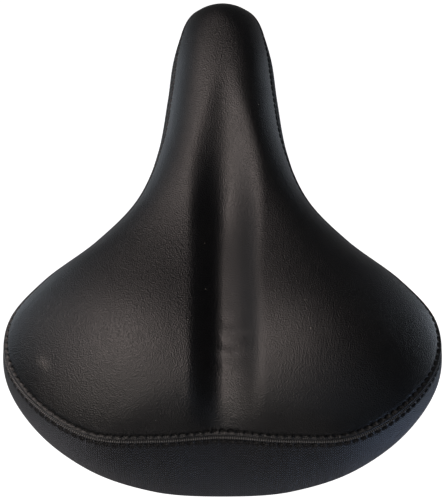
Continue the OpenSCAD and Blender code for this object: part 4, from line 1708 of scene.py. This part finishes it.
@dataclass
class BaseShell:
    """The moulded plastic shell under the padding: plate, rim, relief slot and ribs."""

    form: SeatForm
    around: int = 360
    plate_z: float = 53.0
    plate_t: float = 3.0
    rim_t: float = 3.0
    rim_w: float = 9.0
    rise_run: float = 6.0
    rise_rings: int = 7
    slot_w: float = 16.0
    slot_shares: Pair = (0.3, 0.62)
    rib_h: float = 6.0
    rib_t: float = 2.2
    # How far the ribs stand from the slot: at its sides, behind it and in front of it.
    rib_gaps: tuple[float, float, float] = (8.0, 4.0, 2.0)
    side_ribs: tuple[Pair, ...] = ((0.35, 30.0), (0.46, 14.0))
    bolt_play: float = 0.2

    @property
    def rim_end(self) -> float:
        """Where the flat rim ends, drawn in from the hem."""
        return self.form.skin + self.rim_w

    def slope(self, loop: Loop, low: Array, start: float, high: float) -> list[Array]:
        """Give the rings that rise smoothly from the rim to the plate.

        Args:
            loop: The form, sampled round the seam.
            low: Height of the rim at each point.
            start: How far in from the hem the rise begins.
            high: Height of the plate.

        Returns:
            The rings, the rim's first.
        """
        shares = np.linspace(0, 1, self.rise_rings)
        return [loop.drawn_in(start + self.rise_run * t, low + (high - low) * ease(t)) for t in shares]

    def tools(self) -> tuple[list[Piece], list[Piece]]:
        """Make the ribs to add, and the slot and bolt holes to cut.

        Returns:
            The solids to add and those to cut.
        """
        y0, y1 = (self.form.along(share) for share in self.slot_shares)
        radius = self.slot_w / 2
        beside, behind, before = self.rib_gaps
        x = radius + beside
        top, low = self.plate_z + self.plate_t / 2, self.plate_z - self.rib_h
        ends = (y0 - radius - behind, y1 + radius + before)
        half = self.rib_t / 2
        spans = [((-x, y - half), (x, y + half)) for y in ends]
        for s in (-1, 1):
            spans.append(((s * x - half, ends[0]), (s * x + half, ends[1])))
            for share, reach in self.side_ribs:
                y = self.form.along(share)
                near, far = sorted((s * x, s * (x + reach)))
                spans.append(((near, y - half), (far, y + half)))
        ribs = [box_piece("rib", Vector((*a, low)), Vector((*b, top))) for a, b in spans]
        below, above = self.plate_z - CUT_OVER, self.plate_z + self.plate_t + CUT_OVER
        cuts = [box_piece("slot", Vector((-radius, y0, below)), Vector((radius, y1, above)))]
        cuts += [disc_tool(Vector((0, y, 0)), radius, below, above) for y in (y0, y1)]
        cuts += [disc_tool(centre, r + self.bolt_play, below, above) for centre, r, _ in bolt_heads()]
        return ribs, cuts

    def build(self) -> list[Piece]:
        """Mould the shell.

        Returns:
            The shell.
        """
        loop = Loop.even(self.form, self.around)
        skin, height = self.form.skin, loop.rows[:, 3]
        plate_top = self.plate_z + self.plate_t
        rim_low, rim_top = loop.hem_z + skin, loop.hem_z + skin + self.rim_t
        upper = self.slope(loop, rim_top, self.rim_end, plate_top)[::-1]
        wall = [loop.wall(1 - (skin + drop) / height, -skin) for drop in (self.rim_t, self.rim_t / 2, 0)]
        lower = self.slope(loop, rim_low, self.rim_end + self.plate_t, self.plate_z)
        rings = [loop.on_spine(plate_top), *upper, *wall, *lower, loop.on_spine(self.plate_z)]
        shell = ring_solid("seat_shell", rings, Ends.SPINE)
        ribs, cuts = self.tools()
        cut_and_join(shell, ribs, Join.ADD)
        cut_and_join(shell, cuts, Join.CUT)
        smooth_by_angle(shell, degrees=35)
        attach(shell, "seat")
        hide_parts("base_shell")
        SparkedPolypropylene().dress(shell)
        return [shell]


def bolt_heads() -> list[tuple[Vector, float, float]]:
    """List the four bolts whose heads lie on the base plate.

    Returns:
        For each bolt its axis, shank radius and head radius, in millimetres.
    """
    found = []
    # Each node holds two bolts, which stand apart along X or along Y.
    for node, axis, head_r, shank_r in (
        ("upper_spring_bolts", 0, 7.0, 3.0),
        ("nose_bracket_bolts", 1, 5.5, 2.5),
    ):
        low, high = node_box(node)
        centre = (low + high) / 2
        for place in (low[axis] + head_r, high[axis] - head_r):
            spot = centre.copy()
            spot[axis] = place
            found.append((spot, shank_r, head_r))
    return found


@dataclass
class Padding:
    """The moulded foam pad and the two gel inserts let into its top."""

    form: SeatForm
    shell: BaseShell
    around: int = 360
    rings: int = 44
    gel_t: float = 6.0
    gel_edge: float = 0.6
    # The insert's reach in stations, and over the hump as the angle whose sine is the share r.
    gel_u: Pair = (14 / 9, 56 / 9)
    gel_r: Pair = (math.pi / 8, 3 * math.pi / 8)
    gel_steps: tuple[int, int] = (61, 31)
    gel_fullness: float = 0.7
    # The pocket reaches a little past the insert, less so across than along.
    pocket_margin: float = 0.07
    pocket_across: float = 0.6
    wall_shares: tuple[float, ...] = (0.05, 0.2, 0.4, 0.6, 0.8, 1)
    head_h: float = 3.0
    head_gap: float = 0.5

    def gel_at(self, u: Array, turn: Array | float) -> Array:
        """Give the gel's thickness.

        Args:
            u: Places along the half outline.
            turn: Angle whose sine is the share r.

        Returns:
            Thickness in millimetres, least at and beyond the border.
        """

        def rise(value: Array | float, ends: Pair) -> Array:
            """Share of the full thickness, from 0 at both ends to 1 between them."""
            share = np.clip((value - ends[0]) / (ends[1] - ends[0]), 0, 1)
            return np.sin(math.pi * share) ** self.gel_fullness

        return self.gel_edge + (self.gel_t - self.gel_edge) * rise(u, self.gel_u) * rise(turn, self.gel_r)

    def pocket_at(self, u: Array, turn: float) -> Array:
        """Give the depth of the pocket that a gel insert lies in.

        Args:
            u: Places along the half outline.
            turn: Angle whose sine is the share r.

        Returns:
            Depths in millimetres, 0 outside the pocket.
        """
        along, across = self.pocket_margin, self.pocket_across * self.pocket_margin
        inside = (u > self.gel_u[0] - along) & (u < self.gel_u[1] + along)
        inside &= (self.gel_r[0] - across < turn) & (turn < self.gel_r[1] + across)
        return np.where(inside, self.gel_at(u, turn) + self.form.glue_gap, 0)

    def foam(self) -> Piece:
        """Mould the foam pad.

        Returns:
            The pad, with pockets for gel and bolt heads.
        """
        loop = Loop.even(self.form, self.around)
        form, shell = self.form, self.shell
        depth, gap = form.foam_depth, form.glue_gap
        turns = np.linspace(0, math.pi / 2, self.rings)
        top = [loop.top(math.sin(t), depth + self.pocket_at(loop.u, t) * (t > 0)) for t in turns]
        height = loop.rows[:, 3]
        low = 1 - (form.skin + shell.rim_t + gap) / height
        wall = [loop.wall(share * low, -form.skin) for share in self.wall_shares]
        rim = loop.hem_z + form.skin + shell.rim_t + gap
        plate = shell.plate_z + shell.plate_t
        under = shell.slope(loop, rim, shell.rim_end, plate + gap)
        pad = ring_solid("foam_cushion", [*top, *wall, *under, loop.on_spine(plate + gap)], Ends.SPINE)
        cuts = [
            disc_tool(centre, head + self.head_gap, plate - CUT_OVER, plate + self.head_h + self.head_gap)
            for centre, _, head in bolt_heads()]
        cut_and_join(pad, cuts, Join.CUT)
        smooth_by_angle(pad, degrees=50)
        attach(pad, "seat")
        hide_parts("foam_pad")
        MouldedFoam().dress(pad)
        return pad

    def gel(self, side: Side) -> Piece:
        """Cast one gel insert.

        Args:
            side: Which sitting lobe it lies in.

        Returns:
            The insert.
        """
        along, across = self.gel_steps
        loop = Loop(self.form, np.linspace(*self.gel_u, along), np.full(along, float(side.value)))
        turns = np.linspace(*self.gel_r, across)
        depth = self.form.foam_depth
        upper = np.stack([loop.top(math.sin(t), depth) for t in turns])
        lower = np.stack([loop.top(math.sin(t), depth + self.gel_at(loop.u, t)) for t in turns])
        insert = slab(f"gel_pad_{side.word}", upper, lower, flip=side is Side.LEFT)
        smooth_by_angle(insert, degrees=60)
        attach(insert, "seat")
        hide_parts(f"gel_insert_{side.word}")
        SoftGel().dress(insert)
        return insert

    def build(self) -> list[Piece]:
        """Make the pad and both inserts."""
        return [self.foam(), self.gel(Side.LEFT), self.gel(Side.RIGHT)]


def rounded_path(corners: Array, radii: list[float], step: float = 1.5) -> Array:
    """Round a wire's corners with true arcs.

    Args:
        corners: The corner points, in millimetres.
        radii: Bend radius at each, 0 at both ends.
        step: Longest step along the bends.

    Returns:
        Dense points along the wire.
    """
    path = [corners[0]]
    for before, corner, after, radius in zip(corners, corners[1:], corners[2:], radii[1:]):
        a = (corner - before) / np.linalg.norm(corner - before)
        b = (after - corner) / np.linalg.norm(after - corner)
        turn = math.acos(float(a @ b))
        axis = np.cross(a, b) / np.linalg.norm(np.cross(a, b))
        start = corner - a * radius * math.tan(turn / 2)
        centre = start + np.cross(axis, a) * radius
        out = start - centre
        steps = max(4, math.ceil(radius * turn / step))
        for angle in np.linspace(0, turn, steps + 1):
            path.append(centre + out * math.cos(angle) + np.cross(axis, out) * math.sin(angle))
    path.append(corners[-1])
    return np.array(path)


@dataclass
class RailFrame:
    """The bent wire that carries the seat: two rails, the nose cross-bar and the spring eyes."""

    straight_rear: float = 38.0
    straight_front: float = 36.0
    crossbar_l: float = 28.0
    rail_bend: float = 16.0
    nose_bend: float = 8.0
    eye_land: float = 7.0
    eye_r: float = 10.0
    eye_t: float = 8.0
    eye_soft: float = 1.0
    bolt_play: float = 0.2
    wire_sides: int = 24
    eye_sides: int = 64

    def build(self) -> list[Piece]:
        """Bend the wire and add the eyes.

        Returns:
            The rail frame.
        """
        mount = next(m for m in frame["record"]["mounts"] if m["name"] == "right_rail")
        radius = mount["dims"]["r_mm"]
        rail_x = mount["pos_m"][0] / MM
        hinge = np.array(frame["record"]["behaviour"]["joints"][0]["pos_m"]) / MM
        # The spring bolts come first, and each goes through an eye.
        heads = bolt_heads()[:2]
        eyes = [centre for centre, _, _ in heads]
        eye = np.array([eyes[1].x, eyes[1].y, 0])
        rear = np.array([rail_x, -self.straight_rear, 0])
        tail = eye + (rear - eye) / np.linalg.norm(rear - eye) * self.eye_land
        right = np.array([
            tail, rear, [rail_x, self.straight_front, 0], [self.crossbar_l / 2, hinge[1], hinge[2]]])
        corners = np.concatenate([right, right[::-1] * [-1, 1, 1]])
        bends = [0, self.rail_bend, self.rail_bend, self.nose_bend]
        wire = tube("rail_wire", rounded_path(corners, bends + bends[::-1]), radius, self.wire_sides)
        half, soft = self.eye_t / 2, self.eye_soft
        profile = [(0, -half), (self.eye_r - soft, -half), (self.eye_r, soft - half),
                   (self.eye_r, half - soft), (self.eye_r - soft, half), (0, half)]
        discs = [lathe("eye", profile, Vector((e.x, e.y, 0)), self.eye_sides) for e in eyes]
        cut_and_join(wire, discs, Join.ADD)
        holes = [
            disc_tool(e, shank + self.bolt_play, -half - CUT_OVER, half + CUT_OVER) for e, shank, _ in heads]
        cut_and_join(wire, holes, Join.CUT)
        smooth_by_angle(wire, degrees=35)
        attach(wire, "undercarriage")
        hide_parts("rail_frame")
        PowderCoat().dress(wire)
        return [wire]


@dataclass
class Springs:
    """The two coil springs between the rail eyes and the seat."""

    wire: float = 4.5
    turns: float = 5.0
    end_turns: float = 0.75
    end_rise: float = 3.6
    sides: int = 14
    steps_per_turn: int = 40
    # How far past its ends the spring would start to give; nothing here reads it.
    bend_reach: float = 3.0

    @property
    def all_turns(self) -> float:
        """Turns with both ends counted."""
        return self.turns + 2 * self.end_turns

    def winding(self, sizes: dict[str, float]) -> PatternTree:
        """Draw the tree that winds a coil: a flat turn at both ends and an even climb between them.

        Args:
            sizes: The coil's sizes, by name.

        Returns:
            The tree, with those sizes as its inputs.
        """
        pattern = PatternTree("coil_spring", sizes)
        tree = pattern.tree
        known = {name: pattern[name] for name in sizes}
        line = add_node(tree, "GeometryNodeCurvePrimitiveLine")
        count = round(self.all_turns * self.steps_per_turn)
        dense = add_node(tree, "GeometryNodeResampleCurve", {"Curve": line.outputs[0], "Count": count})
        known["share"] = add_node(tree, "GeometryNodeSplineParameter").outputs["Factor"]
        # Each step has a name, an operation and its terms: earlier steps, inputs or plain numbers.
        for name, operation, *terms in (
            ("last turn", "SUBTRACT", 1.0, "End turn share"),
            ("climb", "SUBTRACT", "Height between end wires", "End rise"),
            ("middle rise", "SUBTRACT", "climb", "End rise"),
            ("turned", "MULTIPLY", "share", "Turns"),
            ("angle", "MULTIPLY", "turned", math.tau),
            ("handed", "MULTIPLY", "angle", "Hand"),
            ("cosine", "COSINE", "handed"),
            ("sine", "SINE", "handed"),
            ("out", "MULTIPLY", "cosine", "Coil radius"),
            ("x", "MULTIPLY", "out", "Hand"),
            ("y", "MULTIPLY", "sine", "Coil radius"),
        ):
            fed = {k: known.get(term, term) for k, term in enumerate(terms)}
            known[name] = add_node(tree, "ShaderNodeMath", fed, operation=operation).outputs[0]
        z = None
        for start, stop, rise in (
            (0.0, "End turn share", "End rise"), ("End turn share", "last turn", "middle rise"),
            ("last turn", 1.0, "End rise"),
        ):
            part = add_node(tree, "ShaderNodeMapRange", {
                "Value": known["share"], "From Min": known.get(start, start),
                "From Max": known.get(stop, stop), "To Min": 0.0, "To Max": known[rise]}).outputs[0]
            z = add_node(tree, "ShaderNodeMath", {0: z, 1: part}, operation="ADD").outputs[0] if z else part
        place = add_node(tree, "ShaderNodeCombineXYZ", {0: known["x"], 1: known["y"], 2: z})
        helix = add_node(
            tree, "GeometryNodeSetPosition", {"Geometry": dense.outputs[0], "Position": place.outputs[0]})
        pattern.close(swept_wire(pattern, helix.outputs[0], self.sides), SpringPaint().material())
        return pattern

    def coil(self, side: Side) -> Piece:
        """Wind one spring with flat-lying end turns.

        Args:
            side: Which spring.

        Returns:
            The spring.
        """
        low, high = node_box(f"coil_spring_{side.word}")
        spring = make_mesh(f"spring_{side.word}", np.zeros((1, 3)), [])
        wire_r = self.wire / 2
        self.winding({
            "Turns": self.all_turns,
            "Coil radius": ((high.x - low.x) / 2 - wire_r) * MM,
            "Height between end wires": (high.z - low.z - self.wire) * MM,
            "Wire radius": wire_r * MM,
            "End turn share": self.end_turns / self.all_turns,
            "End rise": self.end_rise * MM,
            "Hand": float(side.value),
        }).run(spring)
        centre = (low + high) / 2
        shift = Vector((centre.x, centre.y, low.z + wire_r)) * MM
        for vertex in spring.data.vertices:
            vertex.co += shift
        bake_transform(spring)
        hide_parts(f"coil_spring_{side.word}")
        SpringPaint().slot
        return spring

    def build(self) -> list[Piece]:
        """Wind both springs."""
        return [self.coil(side) for side in Side]


@dataclass
class Hardware:
    """CAD nodes that keep their own mesh and get a real finish."""

    def build(self) -> list[Piece]:
        """Dress every steel and rubber node that stays as it is.

        Returns:
            The dressed nodes.
        """
        cups = [f"{end}_spring_cup_{side.word}" for end in ("lower", "upper") for side in Side]
        kinds = ("bolts", "washers", "nuts")
        fixings = [f"{end}_spring_{kind}" for end in ("lower", "upper") for kind in kinds]
        plan = {
            DippedBlack(): ["rear_bridge", "nose_bracket", *cups],
            ZincPlate(): [*fixings, "nose_bracket_bolts", "nose_bracket_nuts"],
            MouldedRubber(): ["nose_bushing"],
        }
        done = []
        for finish, nodes in plan.items():
            for node in nodes:
                finish.dress(frame["nodes"][node])
                done.append(frame["nodes"][node])
        return done


@dataclass(frozen=True)
class Softbox:
    """One square lamp, placed by the direction it shines from and aimed at the saddle."""

    name: str
    direction: tuple[float, float, float]
    distance: float
    size: float
    radiance: float
    colour: str

    def hang(self, target: Vector) -> None:
        """Hang the lamp.

        Args:
            target: The point it faces, in millimetres.
        """
        data = bpy.data.lights.new(self.name, "AREA")
        data.shape = "SQUARE"
        data.size = self.size * MM
        data.energy = self.radiance * math.pi * (self.size * MM) ** 2
        data.color = linear(self.colour)[:3]
        lamp = bpy.data.objects.new(self.name, data)
        place = target + Vector(self.direction).normalized() * self.distance
        lamp.location = place * MM
        lamp.rotation_euler = (target - place).to_track_quat("-Z", "Y").to_euler()
        bpy.context.scene.collection.objects.link(lamp)


@dataclass
class Studio:
    """Floor, lights and camera. Nothing here is part of the saddle."""

    target: tuple[float, float, float] = (0.0, 10.0, 50.0)
    elevation: float = 60.0
    azimuth: float = 0.0
    distance: float = 800.0
    lens: float = 109.3
    # The camera aims this far below the target, as it sees it.
    aim_drop: float = 3.6
    sensor: float = 36.0
    clip_m: Pair = (0.01, 50.0)
    floor_z: float = -800.0
    floor_half: float = 4000.0
    floor_colour: str = "b8b8b8"
    floor_level: float = 0.05
    room_colour: str = "e4e9f2"
    room_level: float = 0.03
    lamps: tuple[Softbox, ...] = (
        Softbox("key_softbox", (-0.46, 0.42, 0.78), 620, 440, 4.2, "ffeee8"),
        Softbox("overhead", (-0.04, 0.24, 0.97), 580, 400, 1.6, "fff0ea"),
        Softbox("behind_panel", (-0.52, -0.35, 0.78), 1000, 640, 3.1, "fff4ec"),
        Softbox("behind_right", (0.5, -0.45, 0.74), 1000, 500, 0.9, "dce4f4"),
        Softbox("rear_panel", (-0.2, -0.97, 0.12), 1200, 600, 1.15, "fff4f0"),
        Softbox("cool_panel", (-0.82, 0.52, 0.2), 1100, 500, 0.85, "dae6f4"),
        Softbox("low_left", (-0.66, 0.52, -0.55), 1200, 700, 1.05, "deeaf6"),
        Softbox("left_panel", (-0.68, -0.36, -0.62), 1050, 500, 1.8, "f4f4ff"),
        Softbox("low_right", (0.72, -0.33, -0.6), 1050, 500, 2.8, "bcd4ff"),
        Softbox("cool_right", (0.72, 0.47, -0.5), 1200, 500, 2.3, "dce8f6"),
    )

    def camera(self) -> None:
        """Put the camera behind and above the saddle, looking towards the nose."""
        tilt, turn = math.radians(self.elevation), math.radians(self.azimuth)
        back = Vector((-math.sin(turn) * math.cos(tilt), -math.cos(turn) * math.cos(tilt), math.sin(tilt)))
        right = Vector((math.cos(turn), -math.sin(turn), 0))
        place = Vector(self.target) + back * self.distance
        aim = Vector(self.target) - back.cross(right) * self.aim_drop
        data = bpy.data.cameras.new("camera")
        data.lens = self.lens
        data.sensor_width = self.sensor
        data.clip_start, data.clip_end = self.clip_m
        camera = bpy.data.objects.new("camera", data)
        camera.location = place * MM
        camera.rotation_euler = (aim - place).to_track_quat("-Z", "Y").to_euler()
        bpy.context.scene.collection.objects.link(camera)
        bpy.context.scene.camera = camera

    def world(self) -> None:
        """Light the room softly and evenly, and show it white to the camera."""
        world = bpy.data.worlds.new("room")
        bpy.context.scene.world = world
        world.use_nodes = True
        tree = world.node_tree
        tree.nodes.clear()
        path = add_node(tree, "ShaderNodeLightPath")
        room = add_node(
            tree, "ShaderNodeBackground", {"Color": linear(self.room_colour), "Strength": self.room_level})
        white = add_node(tree, "ShaderNodeBackground", {"Color": (1, 1, 1, 1), "Strength": 1.0})
        mix = add_node(
            tree, "ShaderNodeMixShader",
            {0: path.outputs["Is Camera Ray"], 1: room.outputs[0], 2: white.outputs[0]})
        add_node(tree, "ShaderNodeOutputWorld", {"Surface": mix.outputs[0]})

    def floor(self) -> None:
        """Lay a pale floor well below the saddle."""
        half, z = self.floor_half, self.floor_z
        points = np.array([[-half, -half, z], [half, -half, z], [half, half, z], [-half, half, z]])
        floor = make_mesh("floor", points, [[0, 1, 2, 3]], smooth=False)
        made = bpy.data.materials.new("pale_floor")
        made.use_nodes = True
        tree = made.node_tree
        tree.nodes.clear()
        path = add_node(tree, "ShaderNodeLightPath")
        level = add_node(
            tree, "ShaderNodeMapRange", {0: path.outputs["Is Camera Ray"], 3: self.floor_level, 4: 1.0})
        matt = add_node(tree, "ShaderNodeBsdfDiffuse", {"Color": linear(self.floor_colour)})
        glow = add_node(tree, "ShaderNodeEmission", {"Strength": level.outputs[0]})
        both = add_node(tree, "ShaderNodeAddShader", {0: matt.outputs[0], 1: glow.outputs[0]})
        add_node(tree, "ShaderNodeOutputMaterial", {"Surface": both.outputs[0]})
        floor.data.materials.append(made)
        floor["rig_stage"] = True

    def build(self) -> None:
        """Set up the whole studio."""
        self.camera()
        self.world()
        self.floor()
        for lamp in self.lamps:
            lamp.hang(Vector(self.target))
        bpy.context.scene.view_settings.view_transform = "Standard"


def main() -> None:
    """Build the studio and the saddle, sub-assembly by sub-assembly."""
    logging.basicConfig(level=logging.INFO, format="%(name)s: %(message)s")
    Studio().build()
    form = SeatForm.from_frame()
    seam = Seam()
    shell = BaseShell(form)
    assemblies = (
        TopCover(form, seam), SideSkirt(form, seam), Staples(form), Padding(form, shell), shell,
        RailFrame(), Springs(), Hardware())
    for assembly in assemblies:
        for piece in assembly.build():
            LOG.info("%s: %s, %d faces", type(assembly).__name__, piece.name, len(piece.data.polygons))
    bpy.context.view_layer.update()
    now = [[float(v) for v in corner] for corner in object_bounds()]
    for axis, cad, seen in zip("xyz", np.subtract(*CAD_BOX[::-1]), np.subtract(*now[::-1])):
        LOG.info("size %s: CAD %.1f mm, visual %.1f mm", axis, cad / MM, seen / MM)


if __name__ == "__main__":
    main()
